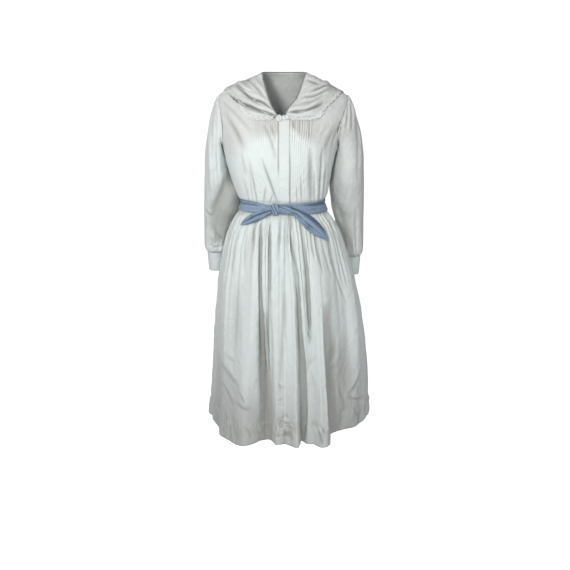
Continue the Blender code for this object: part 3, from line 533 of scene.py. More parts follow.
def section(table, at):
    """The columns of a table at the given values of its first column."""
    first = column(table, 0)
    return [smooth_curve(first, column(table, i), at) for i in range(1, len(table[0]))]


def tracks(table, places):
    """The columns of a table, followed smoothly from row to row."""
    rows = np.arange(len(table))
    return [smooth_curve(rows, column(table, i), places) for i in range(len(table[0]))]


def line_at(table, at):
    """The second column of a table, in straight lines from row to row."""
    places, values = zip(*sorted(table))
    return np.interp(at, places, values)


def power(value, exponent):
    return np.sign(value) * np.abs(value) ** exponent


def unit(vectors):
    length = np.linalg.norm(vectors, axis=-1, keepdims=True)
    return vectors / np.maximum(length, 1e-12)


def ease(value, start, end):
    t = np.clip((value - start) / (end - start), 0, 1)
    return t * t * (3 - 2 * t)


def bell(value, width):
    """A smooth hump, 1 where the value is 0."""
    return np.exp(-(value / width) ** 2)


def stacked(*parts):
    """Points from their x, y and z."""
    return np.stack(np.broadcast_arrays(*parts), axis=-1)


def x_and_height(points):
    """Where points lie when they are seen straight from the front."""
    return points[..., 0], points[..., 2]


def stepped(*runs):
    """Even steps from place to place; each run has a start, an end and how many values it takes."""
    return np.concatenate([np.linspace(*run)[min(i, 1):] for i, run in enumerate(runs)])


def nearest(values, wanted):
    return int(np.argmin(np.abs(values - wanted)))


def run_along(line):
    """Distances along a line from its start."""
    steps = np.linalg.norm(np.diff(line, axis=0), axis=1)
    return np.concatenate(([0], np.cumsum(steps)))


def sign_of(side):
    return -1 if side == "left" else 1


def wearer(side):
    return "right" if side == "left" else "left"


def section_point(left, right, front, back, middle, angle, height):
    """Points on body sections, at angles in degrees from the centre front."""
    across = power(np.sin(np.radians(angle)), 2 / ROUND)
    forward = power(np.cos(np.radians(angle)), 2 / ROUND)
    width = np.where(across > 0, right, left)
    depth = np.where(forward > 0, front, back)
    return stacked(width * across, middle - depth * forward, height)


def bodice_point(angle, height):
    return section_point(*section(BODICE_SECTIONS, height), 0, angle, height)


def skirt_point(angle, height):
    return section_point(*section(SKIRT_SECTIONS, height)[:5], angle, height)


def half_width(side, height):
    return section(BODICE_SECTIONS, height)[0 if side == "left" else 1]


def angle_of(x, height, sections=BODICE_SECTIONS):
    """The angle at which the front of a section has this x."""
    left, right = section(sections, height)[:2]
    width = np.where(x > 0, right, left)
    share = np.minimum(1, np.abs(x) / width) ** (ROUND / 2)
    return np.degrees(np.arcsin(share)) * np.where(x > 0, 1, -1)


def grid_normals(points, ring=False):
    """Outward normals of a grid of rows and columns."""
    if ring:
        body = points[:, :-1]
        along = np.roll(body, -1, axis=1) - np.roll(body, 1, axis=1)
        along = np.concatenate((along, along[:, :1]), axis=1)
    else:
        along = np.gradient(points, axis=1)
    normals = unit(np.cross(np.gradient(points, axis=0), along))
    middle = points.mean(axis=1, keepdims=True)
    outward = points - (middle if ring else middle * (0, 0, 1))
    return -normals if np.sum(normals * outward) < 0 else normals


# Relief of the cloth


def near_line(x, z, path):
    """Distance of points from a line, how far along it they are, and on which side they lie."""
    legs = list(zip(path, path[1:]))
    lengths = [np.hypot(*(b - a)) for a, b in legs]
    closest = np.full(x.shape, np.inf)
    along = np.zeros(x.shape)
    side = np.zeros(x.shape)
    done = 0
    for (a, b), length in zip(legs, lengths):
        run = (b - a) / length
        reach = np.clip((x - a[0]) * run[0] + (z - a[1]) * run[1], 0, length)
        dx = x - a[0] - reach * run[0]
        dz = z - a[1] - reach * run[1]
        distance = np.hypot(dx, dz)
        closer = distance < closest
        closest = np.where(closer, distance, closest)
        along = np.where(closer, (done + reach) / sum(lengths), along)
        side = np.where(closer, run[0] * dz - run[1] * dx, side)
        done += length
    return closest, along, side


def crease_relief(points, creases):
    """How far the listed creases lift the cloth at points of a face seen straight on."""
    x, z = x_and_height(points)
    total = np.zeros(x.shape)
    for crease in metres(creases):
        width, depth, lip = crease[:3]
        path = curved(np.array(crease[3:]).reshape(-1, 2))
        low = path.min(axis=0) - 5 * width
        high = path.max(axis=0) + 5 * width
        close = (x > low[0]) & (x < high[0]) & (z > low[1]) & (z < high[1])
        if not close.any():
            continue
        distance, along, side = near_line(x[close], z[close], path)
        fade = np.sin(pi * np.clip(0.05 + 0.90 * along, 0, 1)) ** 0.7
        rise = depth * bell(distance, width)
        rise += lip * bell(side - 1.9 * width, 1.4 * width) * (distance < 5 * width)
        total[close] += rise * fade
    return total


def curved(path):
    """A path rounded between its given points."""
    for _ in range(2):
        a = path[:-1]
        b = path[1:]
        cut = np.stack((0.75 * a + 0.25 * b, 0.25 * a + 0.75 * b), axis=1)
        path = np.concatenate((path[:1], cut.reshape(-1, 2), path[-1:]))
    return path


def soft_noise(u, v, size_u, size_v, seed):
    """Smooth random heights between -1 and 1, with this spacing along each direction."""
    lattice = np.random.default_rng(seed).uniform(-1, 1, (128, 128))
    x = u / size_u + 64
    y = v / size_v + 64
    i = np.floor(x).astype(int)
    j = np.floor(y).astype(int)
    fx = ease(x - i, 0, 1)
    fy = ease(y - j, 0, 1)
    i0, i1, j0, j1 = i % 128, (i + 1) % 128, j % 128, (j + 1) % 128
    low = lattice[i0, j0] * (1 - fx) + lattice[i1, j0] * fx
    high = lattice[i0, j1] * (1 - fx) + lattice[i1, j1] * fx
    return low * (1 - fy) + high * fy


def rumple(u, v, seed, size):
    """The small uneven wrinkles that crisp cotton keeps everywhere."""
    broad = soft_noise(u, v, 0.050, 0.120, seed)
    slant = soft_noise(u + 0.6 * v, v - 0.4 * u, 0.018, 0.070, seed + 1)
    other = soft_noise(u - 0.7 * v, v + 0.5 * u, 0.014, 0.045, seed + 2)
    crisp = soft_noise(u + 0.9 * v, v - 0.8 * u, 0.009, 0.038, seed + 3)
    sharp = 0.6 - np.abs(slant) * 1.6
    return size * (1.2 * broad + 0.9 * sharp + 0.5 * other + 0.5 * (0.5 - np.abs(crisp) * 1.6))


def raised(points, normals, height):
    return points + normals * height[..., None]


def hollow_of(relief, scale):
    """How deep a point lies in its creases, from 0 to 1; it sets how much painted shade the point gets."""
    return np.clip(-relief / scale, 0, 1)


# Sheets of cloth


def cloth_lengths(points):
    """Distances in metres along the columns and down the rows of a grid, for its threads."""
    across = np.linalg.norm(np.diff(points, axis=1), axis=2)
    u = np.concatenate((np.zeros((len(points), 1)), np.cumsum(across, axis=1)), axis=1)
    u -= u[:, u.shape[1] // 2][:, None]
    down = np.linalg.norm(np.diff(points, axis=0), axis=2)
    v = np.concatenate((np.zeros((1, points.shape[1])), np.cumsum(down, axis=0)), axis=0)
    return u, v


def sheet_mesh(name, points, normals, marks, ring):
    """A grid of cloth moved onto its points, with its threads' map and its marks."""
    rows, columns = points.shape[:2]
    shape = bmesh.new()
    bmesh.ops.create_grid(shape, x_segments=columns - 1, y_segments=rows - 1, size=0.5)
    data = bpy.data.meshes.new(name)
    shape.to_mesh(data)
    data.vertices.foreach_set("co", points.reshape(-1).astype(np.float32))
    threads = data.uv_layers.new(name="threads")
    corner = np.zeros(len(data.loops), dtype=np.int32)
    data.loops.foreach_get("vertex_index", corner)
    pairs = np.stack([lengths.reshape(-1)[corner] for lengths in cloth_lengths(points)], axis=-1)
    threads.uv.foreach_set("vector", pairs.reshape(-1).astype(np.float32))
    for mark_name, values in marks.items():
        mark_points(data, mark_name, np.broadcast_to(values, (rows, columns)).reshape(-1))
    data.update()
    shape.clear()
    shape.from_mesh(data)
    shape.normal_update()
    facing = 0
    flat_normals = normals.reshape(-1, 3)
    for face in list(shape.faces)[:: max(1, len(shape.faces) // 400)]:
        facing += np.dot(face.normal, flat_normals[face.verts[0].index])
    if facing < 0:
        bmesh.ops.reverse_faces(shape, faces=shape.faces)
    if ring:
        bmesh.ops.remove_doubles(shape, verts=shape.verts, dist=1e-6)
    shape.to_mesh(data)
    shape.free()
    data.shade_smooth()
    return data


def mark_points(data, mark_name, values):
    """A value from 0 to 1 kept at each point, for the cloth's colours: its satin and its painted shade."""
    layer = data.attributes.new(mark_name, "FLOAT", "POINT")
    layer.data.foreach_set("value", np.clip(values, 0, 1).astype(np.float32))


def piece(name, data, finish, nodes=()):
    """A finished piece on the body that carries it, in place of its plain solids."""
    made = bpy.data.objects.new(name, data)
    bpy.context.collection.objects.link(made)
    data.materials.clear()
    data.materials.append(finish)
    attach(made, "root")
    if nodes:
        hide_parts(*nodes)
    return made


def cloth(name, points, normals, marks, finish, slot_name, node=None, ring=False, thickness=SHELL, **sheet):
    """A sheet of cloth with its wall; its sheet settings, the flat size and how it is held, are not used."""
    data = sheet_mesh(name, points, normals, marks, ring)
    made = piece(name + "_cloth", data, finish, [node or name])
    wall = made.modifiers.new("wall", "SOLIDIFY")
    wall.thickness = thickness
    wall.offset = -1
    wall.use_rim = True


def shape_mesh(name, shape):
    data = bpy.data.meshes.new(name)
    shape.normal_update()
    shape.to_mesh(data)
    shape.free()
    data.shade_smooth()
    data.set_sharp_from_angle(angle=radians(50))
    return data


def rounded_lump(name, segments, rings, squareness, place):
    """A rounded block; place gives where each of its points goes, and how much painted shade it gets."""
    shape = bmesh.new()
    bmesh.ops.create_uvsphere(shape, u_segments=segments, v_segments=rings, radius=1)
    shade = []
    for vert in shape.verts:
        vert.co, dark = place(*(power(value, squareness) for value in vert.co))
        shade.append(dark)
    bmesh.ops.recalc_face_normals(shape, faces=shape.faces)
    data = shape_mesh(name, shape)
    mark_points(data, "painted_shade", np.array(shade))
    return data


def stitch_row(name, line, away, spacing, thread, thick=STITCH):
    """A row of small raised stitches at equal steps along a line on the cloth."""
    run = run_along(line)
    at = np.arange(spacing, run[-1] - spacing, spacing)
    before, centre, after, out = (
        np.stack([np.interp(place, run, values[:, i]) for i in range(3)], axis=1)
        for place, values in ((at - 0.3 * spacing, line), (at, line), (at + 0.3 * spacing, line), (at, away))
    )
    forward = unit(after - before)
    out = unit(out)
    across = np.cross(forward, out)
    shape = bmesh.new()
    for i in range(len(at)):
        stitch = bmesh.ops.create_cone(shape, cap_ends=True, segments=5, radius1=thick, radius2=thick,
                                       depth=0.62 * spacing)["verts"]
        for vert in stitch:
            x, y, z = vert.co
            vert.co = centre[i] + across[i] * x + out[i] * (0.6 * y + 0.3 * thick) + forward[i] * z
    bmesh.ops.recalc_face_normals(shape, faces=shape.faces)
    piece(name, shape_mesh(name, shape), thread)


# Bodice


def arm_angle(side, face, height):
    """Angle of the armhole seam at each height. Outside the armhole it is the side itself."""
    inside = np.clip((SHOULDER_TIP - height) / (SHOULDER_TIP - UNDERARM), 0, 1)
    start, growth = ARM_CURVE[(side, face)]
    turn = (start + growth * inside) * np.maximum(np.sin(pi * inside), 0) ** 0.4
    return sign_of(side) * (90 - turn if face == "front" else 90 + turn)


def arm_height(turns):
    """Heights round the armhole, from the shoulder tip at 0 to the underarm at pi."""
    return 0.5 * (SHOULDER_TIP + UNDERARM) + 0.5 * (SHOULDER_TIP - UNDERARM) * np.cos(turns)


def bodice_heights(top):
    """Heights of the rows, closer together where the armhole turns."""
    above = np.linspace(top, SHOULDER_TIP, 22, endpoint=False)
    beside = arm_height(np.linspace(0, pi, 56))
    below = np.linspace(UNDERARM, WAIST, 62)[1:]
    return np.concatenate((above, beside, below))[:, None]


def neck_distance(side, height):
    """Distance of the neckline from the centre front, none below the V."""
    x = line_at(NECKLINE[side], height)
    return np.where(height <= V_POINT, 0, np.abs(x - CENTRE_X))


def neck_angle(side, height):
    return angle_of(CENTRE_X + sign_of(side) * neck_distance(side, height), height)


def tuck_relief(side, distance, height):
    """Heights of the pin tucks, sharp on the chest and soft at the waist, and the painted shade beside each.
    """
    place = (distance - TUCK_START) / TUCK_PITCH
    number = np.floor(place).astype(int)
    share = place - number
    sizes = np.array(TUCK_SIZE[side])
    tucked = (number >= 0) & (number < len(sizes))
    size = tucked * sizes[np.clip(number, 0, len(sizes) - 1)]
    rise = np.where(share < 0.62, ease(share, 0.10, 0.62), 1 - ease(share, 0.62, 0.86))
    stands = section(TUCK_STANDS, height)[0]
    beside = ease(share, 0.60, 0.80) * (1 - ease(share, 0.88, 1))
    return size * rise * stands, size * beside * stands / TUCK_STANDS[1][1]


def at_waist(points):
    """Creases and wrinkles end where the cloth is sewn to the waist."""
    return ease(points[..., 2], WAIST, WAIST + 0.030)


def front_panel(side, cotton):
    heights = bodice_heights(NECK_POINT)
    width = half_width(side, heights)
    neck = neck_distance(side, heights)
    zone = TUCK_ZONE * np.minimum(1, width / half_width(side, TUCK_LEVEL)) ** 0.7
    zone = np.clip(zone, neck + 0.3 * (width - neck), neck + 0.8 * (width - neck))
    distance = stepped((0, TUCK_START, 7), (TUCK_START, TUCK_ZONE, 76))
    along = neck + (zone - neck) * distance / TUCK_ZONE
    angle = angle_of(CENTRE_X + sign_of(side) * along, heights)
    last = angle[:, -1:]
    beyond = last + (arm_angle(side, "front", heights) - last) * np.linspace(0, 1, 40)[1:]
    points = bodice_point(np.concatenate((angle, beyond), axis=1), heights)
    normals = grid_normals(points)
    relief = np.zeros(points.shape[:2])
    shade = np.zeros(points.shape[:2])
    tucked = slice(0, len(distance))
    relief[:, tucked], shade[:, tucked] = tuck_relief(side, distance, heights)
    creases = crease_relief(points, CHEST_CREASES)
    rough = rumple(*cloth_lengths(points), 11 if side == "left" else 12, 0.0008)
    calm = at_waist(points) * (1 - 0.75 * under_collar(points))
    points = raised(points, normals, relief + (creases + rough) * calm)
    # Painted shade in the chest's creases, beside each tuck, beside the placket and below the collar, with
    # the warmer painted shade over the upper chest.
    dark = hollow_of(creases, 0.004) + 0.9 * shade + beside_placket(side, points) + below_collar(points)
    cloth("bodice_front_" + wearer(side), points, normals, {"painted_warm_shade": chest_painted_shade(points), "painted_shade": dark},
          cotton, "bodice", flat=(0.30, 0.47), held="hung", area=0.098, rests_on=["bodice_back_cloth"])


def below_collar(points):
    """The tucks right below the collar lie in its shade."""
    return 0.26 * chest_painted_shade(points) * ease(np.abs(points[..., 0]), 0.120, 0.085)


def beside_placket(side, points):
    """The cloth right beside the placket's raised edge sees little light."""
    distance = np.abs(points[..., 0] - CENTRE_X) - PLACKET_WIDTH / 2
    height = points[..., 2]
    near = ease(distance, 0.0045, 0.0010)
    if side == "left":
        return near * ease(height, -0.31, -0.26)
    return near * (0.25 + 0.75 * ease(-height, 0.22, 0.27))


def under_collar(points):
    """How surely a point of the bodice lies under the collar."""
    edge = line_at(COLLAR_COVER, np.abs(points[..., 0]))
    return ease(points[..., 2], edge - 0.012, edge + 0.004)


def chest_painted_shade(points):
    """Painted shade below the collar: the upper chest is warmer and greyer, down to a soft line below the
    tucks' sharp part.
    """
    x = points[..., 0]
    line = line_at(CHEST_SHADE_LINE, x)
    front = ease(-points[..., 1], -0.02, 0.02)
    soft = 0.011 + 0.35 * np.maximum(0, np.abs(x) - 0.045)
    return ease(points[..., 2], line - soft, line + soft) * front


def back_panel(cotton):
    heights = bodice_heights(0)
    start = arm_angle("right", "back", heights)
    end = 360 + arm_angle("left", "back", heights)
    points = bodice_point(start + (end - start) * np.linspace(0, 1, 100), heights)
    normals = grid_normals(points)
    creases = crease_relief(points, BACK_CREASES)
    rough = rumple(*cloth_lengths(points), 21, 0.0006)
    points = raised(points, normals, (creases + rough) * at_waist(points))
    # Painted shade: warmer grey towards the top of the back, and darker in its creases.
    marks = {"painted_warm_shade": ease(points[..., 2], -0.20, -0.12), "painted_shade": hollow_of(creases, 0.004)}
    cloth("bodice_back", points, normals, marks, cotton, "bodice", flat=(0.46, 0.45), held="hung",
          area=0.180, rests_on=BODICE_FRONTS)


def placket(cotton, thread):
    """The covered button strip, laid on both front panels and topstitched at its edges."""
    sewn = 0.41
    heights = np.linspace(V_POINT - 0.002, WAIST + SEAM, 120)[:, None]
    across = np.linspace(-0.5, 0.5, 29)
    aside = np.abs(across)
    x = CENTRE_X + PLACKET_WIDTH * across + 0.0005 * np.sin(heights * 61)
    points = bodice_point(angle_of(x, heights), heights)
    normals = grid_normals(points)
    stitched = bell(aside - sewn, 0.025) * (0.6 + 0.4 * np.sin(heights * 2 * pi / 0.0035))
    turned = ease(aside, 0.50, 0.46)
    creases = crease_relief(points, CHEST_CREASES) * ease(aside, 0.1, 0.5)
    relief = CLOTH + 0.0012 - 0.0005 * stitched + 0.0006 * (turned - 1) + 0.4 * creases
    points = raised(points, normals, relief + rumple(*cloth_lengths(points), 31, 0.0003))
    # Painted shade along the stitched lines and beside each raised edge, and warmer painted shade towards its
    # top.
    left_edge_shade = 2 * ease(-across, 0.40, 0.50) * ease(heights, -0.31, -0.25)
    right_edge_shade = 2 * ease(across, 0.43, 0.50) * ease(-heights, 0.22, 0.27)
    marks = {
        "painted_warm_shade": 0.7 * ease(points[..., 2], -0.30, -0.14),
        "painted_shade": 0.6 * stitched + left_edge_shade + 0.8 * right_edge_shade,
    }
    cloth("placket", points, normals, marks, cotton, "bodice", node="bodice_placket",
          flat=(PLACKET_WIDTH, 0.285), held="laid", rests_on=BODICE_FRONTS)
    for label, edge in (("right", -sewn), ("left", sewn)):
        i = nearest(across, edge)
        stitch_row("placket_stitches_" + label, points[:, i], normals[:, i], PLACKET_STITCH, thread)


# Sleeves and cuffs


def sleeve_rings(side, turns, heights):
    outer, inner, front, back, gather = section(SLEEVES[side], heights)
    ripple = gather * (np.cos(SLEEVE_GATHERS * turns) + 0.5 * np.cos(2 * SLEEVE_GATHERS * turns + 1))
    x = (outer + inner) / 2 + ((outer - inner) / 2 + ripple) * np.cos(turns)
    y = (front + back) / 2 - ((back - front) / 2 + ripple) * np.sin(turns)
    return stacked(sign_of(side) * x, y, heights)


def armhole_ring(side, turns):
    """Points round the armhole from the shoulder tip over the front, and the bodice's outward way."""
    height = arm_height(turns)
    angle = np.where(turns <= pi, arm_angle(side, "front", height), arm_angle(side, "back", height))
    ring = bodice_point(angle, height)
    ahead, behind = section(BODICE_SECTIONS, height)[2:]
    width = half_width(side, height)
    depth = np.where(ring[:, 1] > 0, behind, ahead)
    slope = np.maximum(0, (width - half_width(side, height + 0.004)) / 0.004)
    x = sign_of(side) * power(np.abs(ring[:, 0]) / width, ROUND - 1) / width
    y = power(ring[:, 1] / depth, ROUND - 1) / depth
    return ring, unit(stacked(x, y, slope / width))


def sleeve_cap(side, turns, elbow):
    """The sleeve's head, turned out of the armhole seam and down to its first full ring."""
    ring, out = armhole_ring(side, turns)
    ring[-1] = ring[0]
    into = ring[:-1].mean(axis=0) - ring
    into = unit(into - out * np.sum(into * out, axis=1, keepdims=True))
    start = ring + into * SEAM
    low = (0.5 - 0.5 * np.cos(turns))[:, None]
    reach = 0.020 - 0.006 * low + 0.010 * np.sin(pi * low)
    leave = unit(out + into * (1 - 0.75 * low)) * reach
    arrive = (0.085 - 0.060 * low) * (0, 0, 1)
    t = np.linspace(0, 1, 62)[:-1, None, None]
    k = 1 - t
    upper = k**3 * start + 3 * k * k * t * (start + leave)
    return upper + 3 * k * t * t * (elbow + arrive) + t**3 * elbow


def sleeve(side, cotton):
    turns = np.linspace(0, 2 * pi, 111)
    top, end = SLEEVES[side][0][0], SLEEVES[side][-1][0]
    heights = stepped((top, FOREARM, 56), (FOREARM, end, 44))
    below = sleeve_rings(side, turns, heights[:, None])
    points = np.concatenate((sleeve_cap(side, turns, below[0]), below))
    normals = grid_normals(points, ring=True)
    x, z = x_and_height(points)
    ahead = ease(-normals[..., 1], -0.25, 0.25)
    creases = crease_relief(points, SLEEVE_CREASES[(side, "front")]) * ahead
    creases += crease_relief(points, SLEEVE_CREASES[(side, "back")]) * (1 - ahead)
    rows = np.arange(len(points))[:, None]
    gathers = 0.0016 * bell(rows, 9) * np.cos(18 * turns + 1.3 * np.sin(3 * turns))
    gathers = gathers * np.cos(0.5 * turns) ** 2
    seam = -0.0012 * bell(rows, 1.6)
    rough = rumple(turns * 0.055 + 0 * z, -z, 41 if side == "left" else 42, 0.0010)
    calm = ease(rows, 0, 6) * ease(len(points) - 1 - rows, 0, 5)
    relief = (creases + rough * np.sin(0.5 * turns) ** 0.5) * calm + gathers + seam
    points = raised(points, normals, relief)
    points[:, -1] = points[:, 0]
    # Painted shade: warmer grey over the whole right sleeve and the tops of both, darker in creases and
    # gathers and on the inner forearm.
    marks = {
        "painted_warm_shade": (0.05 if side == "left" else 0.55) + 0.50 * ease(z, -0.24, -0.10),
        "painted_shade": np.maximum(hollow_of(creases + gathers, 0.009), sleeve_shade(side, x, z) * ahead),
    }
    cloth("sleeve_" + wearer(side), points, normals, marks, cotton, "sleeves", ring=True,
          flat=(0.40, 0.56), held="hung", area=0.175,
          rests_on=["bodice_front_" + wearer(side) + "_cloth", "bodice_back_cloth"])


def sleeve_shade(side, x, z):
    """Painted shade on the inner forearm, where the cloth turns from the light."""
    edge = line_at(SHADE_EDGE[side], z)
    if side == "right":
        return 0.18 + 0.58 * ease(x, edge + 0.022, edge - 0.018)
    low = bell(x + 0.230, 0.020) * bell(z + 0.528, 0.018)
    return np.maximum(ease(-x, edge + 0.005, edge - 0.005), 0.85 * low)


def cuff(side, cotton, pearl, thread):
    height, outer, inner, front, back = SLEEVES[side][-1][:5]
    turns = np.linspace(0, 2 * pi, 121)
    down = np.linspace(0, 1, 34)[:, None]
    x = (outer + inner) / 2 - 0.0015 * down + ((outer - inner) / 2 - 0.002 * down) * np.cos(turns)
    y = (front + back - 0.001) / 2 + CUFF_LEAN * down - (back - front - 0.003) / 2 * np.sin(turns)
    points = stacked(sign_of(side) * x, y, height - SEAM - CUFF_HEIGHT * down)
    normals = grid_normals(points, ring=True)
    stitch = sum(bell(down - level, 0.022) for level in CUFF_SEWN)
    stitch = stitch * (0.6 + 0.4 * np.sin(turns * 62))
    overlap = 0.0011 * ease(turns, 5.02, 5.06) * (1 - ease(turns, 5.60, 5.95))
    edge = -0.0007 * (bell(down, 0.03) + bell(1 - down, 0.03))
    creases = 0.0009 * soft_noise(turns * 0.036, down * CUFF_HEIGHT, 0.016, 0.0042, 51 + sign_of(side))
    relief = overlap + edge - 0.0005 * stitch + creases * np.sin(pi * down) * np.sin(0.5 * turns) ** 0.5
    points = raised(points, normals, relief)
    points[:, -1] = points[:, 0]
    name = "cuff_" + wearer(side)
    # Painted shade along the stitched lines.
    cloth(name, points, normals, {"painted_warm_shade": 0, "painted_shade": 0.4 * stitch}, cotton, "sleeves", ring=True,
          thickness=0.0016, flat=(0.212, CUFF_HEIGHT), held="stretched",
          rests_on=["sleeve_" + wearer(side) + "_cloth"])
    for label, level in zip(("top", "end"), CUFF_SEWN):
        i = nearest(down[:, 0], level)
        stitch_row(name + "_stitches_" + label, points[i], normals[i], CUFF_STITCH, thread)
    cuff_button(side, unit(normals[17, 100]), pearl, thread)


def cuff_button(side, away, pearl, thread):
    """A small dished button, sewn on the outer back of the cuff with a cross of thread."""
    node = "cuff_button_" + wearer(side)
    centre = np.mean(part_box(node), axis=0)
    shape = bmesh.new()
    verts = [shape.verts.new((x, 0, z)) for x, z in BUTTON_PROFILE]
    edges = [shape.edges.new(pair) for pair in zip(verts, verts[1:])]
    bmesh.ops.spin(shape, geom=verts + edges, cent=(0, 0, 0), axis=(0, 0, 1),
                   angle=2 * pi, steps=28, use_merge=True)
    bmesh.ops.remove_doubles(shape, verts=shape.verts, dist=1e-6)
    bmesh.ops.recalc_face_normals(shape, faces=shape.faces)
    place_on(shape, centre, away)
    piece(node + "_disc", shape_mesh("cuff_button", shape), pearl, [node])
    sewn = bmesh.new()
    for turn in (0, pi / 2):
        bar = bmesh.ops.create_cone(sewn, cap_ends=True, segments=8, radius1=0.00035, radius2=0.00035,
                                    depth=0.0034)["verts"]
        for vert in bar:
            x, y, z = vert.co
            vert.co = (z * np.cos(turn) - y * np.sin(turn), z * np.sin(turn) + y * np.cos(turn), x + 0.0010)
    place_on(sewn, centre, away)
    piece("cuff_thread_" + wearer(side), shape_mesh("cuff_thread", sewn), thread)


def place_on(shape, centre, away):
    side_axis = unit(np.cross((0, 0, 1), away))
    upright = np.cross(away, side_axis)
    for vert in shape.verts:
        x, y, z = vert.co
        vert.co = centre + side_axis * x + upright * y + away * z


# Collar


def neck_track(place):
    """Angles and heights of the collar's inner edge at shares of its length."""
    height, = section(COLLAR_NECK, place)
    left_place, left_height = COLLAR_NECK[3]
    right_place, right_height = COLLAR_NECK[7]
    start = neck_angle("left", left_height)
    end = neck_angle("right", right_height) - 360
    angle = start + (end - start) * ((place - left_place) / (right_place - left_place))
    angle = np.where(place <= left_place, neck_angle("left", height), angle)
    return np.where(place >= right_place, neck_angle("right", height) - 360, angle), height


def collar_lift(share, front):
    """How far the collar stands off the bodice, with soft folds along its front."""
    size = np.clip((front - 0.40) / 0.20, 0.15, 1) * np.minimum(1, (1 - front) / 0.12)
    lift, fold = section(COLLAR_ROWS, share)
    return lift + fold * size


def collar(cotton):
    """The wide collar with its scalloped, embroidered edge and the rolled neckline."""
    place = np.linspace(0, 1, 471)
    share = stepped((0, 0.80, 60), (0.80, 1, 18))[:, None]
    angle_in, height_in = neck_track(place)
    angle_out, height_out = section(COLLAR_EDGE, place)
    points = bodice_point(angle_in + (angle_out - angle_in) * share,
                          height_in + (height_out - height_in) * share)
    normals = grid_normals(points)
    front = np.abs(2 * place - 1)
    ahead = ease(-normals[..., 1], -0.10, 0.20)
    creases = crease_relief(points, COLLAR_CREASES) * ahead * ease(share, 0, 0.10)
    edge_run = run_along(points[-1])
    phase = edge_run / edge_run[-1] * round(edge_run[-1] / SCALLOP_PITCH)
    bulge = np.abs(np.sin(pi * phase)) ** 0.75
    outward = unit(points[-1] - points[-3]) * (SCALLOP * (bulge - 0.55))[:, None]
    points = points + outward * ease(share, 0.80, 1)[..., None]
    edge_length = np.linalg.norm(points[-1] - points[0], axis=1)
    from_edge = (1 - share) * edge_length
    satin = ease(from_edge, 0.0042, 0.0030) * (0.75 + 0.25 * np.cos(2 * pi * edge_run / 0.0011))
    motif = embroidery(phase, from_edge)
    sewn = np.maximum(satin, motif)
    u, v = cloth_lengths(points)
    rough = rumple(u, v, 61, 0.0009) * (0.4 + 0.6 * ahead)
    rough += 0.0004 * soft_noise(u, from_edge, 0.0035, 0.012, 64) * ease(from_edge, 0.016, 0.004)
    relief = collar_lift(share, front) + creases + rough * ease(share, 0, 0.08)
    points = raised(points, normals, relief + 0.0004 * satin + 0.0003 * motif)
    patchy = 0.65 + 0.55 * soft_noise(u, from_edge, 0.011, 0.006, 65)
    # Painted shade: a dark line along the neckline, darker where the cloth faces upward, and the openwork's
    # painted shade.
    dark = ease(share * edge_length, 0.004, 0.0015) + 0.45 * ease(normals[..., 2], 0.60, 0.95)
    dark += 0.55 * openwork_shade(from_edge, bulge, sewn) * patchy * (0.5 + front)
    # Painted shade in the creases.
    folded = hollow_of(creases, 0.0044)
    rolled, rolled_normals = neck_roll(points, normals)
    inner = np.zeros(rolled.shape[:2])
    points = np.concatenate((rolled, points))
    normals = np.concatenate((rolled_normals, normals))
    # The rolled edge is all in painted shade; the collar has the warmer painted shade, with less of it on its
    # lower front flap.
    flap = ease(-points[..., 2], 0.095, 0.122) * ease(-points[..., 1], 0.02, 0.06)
    marks = {
        "painted_warm_shade": 1 - 0.4 * flap,
        "painted_shade": np.concatenate((inner + 1, np.maximum(dark, folded))),
        "satin": np.concatenate((inner, sewn * (1 - folded))),
    }
    cloth("collar", points, normals, marks, cotton, "collar", flat=(0.62, 0.42), held="laid", area=0.112,
          rests_on=BODICE_CLOTH)


def embroidery(phase, from_edge):
    """A small round motif and two leaves above each scallop."""
    across = (phase - np.floor(phase) - 0.5) * SCALLOP_PITCH
    dot = ease(np.hypot(across, from_edge - 0.0100), 0.0030, 0.0020)
    leaf = np.hypot(np.abs(across) - 0.0052, (from_edge - 0.0078) / 1.9)
    return np.maximum(dot, ease(leaf, 0.0018, 0.0010))


def openwork_shade(from_edge, bulge, sewn):
    """Painted shade of the small holes above the scallops and between the motifs, and a painted dark line at
    the very edge.
    """
    holes = bell(from_edge - 0.0150 - 0.0035 * bulge, 0.0012)
    between = 0.45 * ease(from_edge, 0.0165, 0.0120) * (1 - sewn)
    return holes + between + 0.9 * ease(from_edge, 0.0012, 0.0004)


def neck_roll(points, normals):
    """The collar's edge turned down into the neckline."""
    into = unit(points[0] - points[2])
    turn = np.array((2.6, 1.9, 1.2, 0.6))[:, None, None]
    over = into * np.sin(np.minimum(turn, pi / 2))
    down = normals[0] * (1 - np.cos(turn))
    return points[0] + (over - down) * COLLAR_ROLL, unit(into * np.sin(turn) + normals[0] * np.cos(turn))


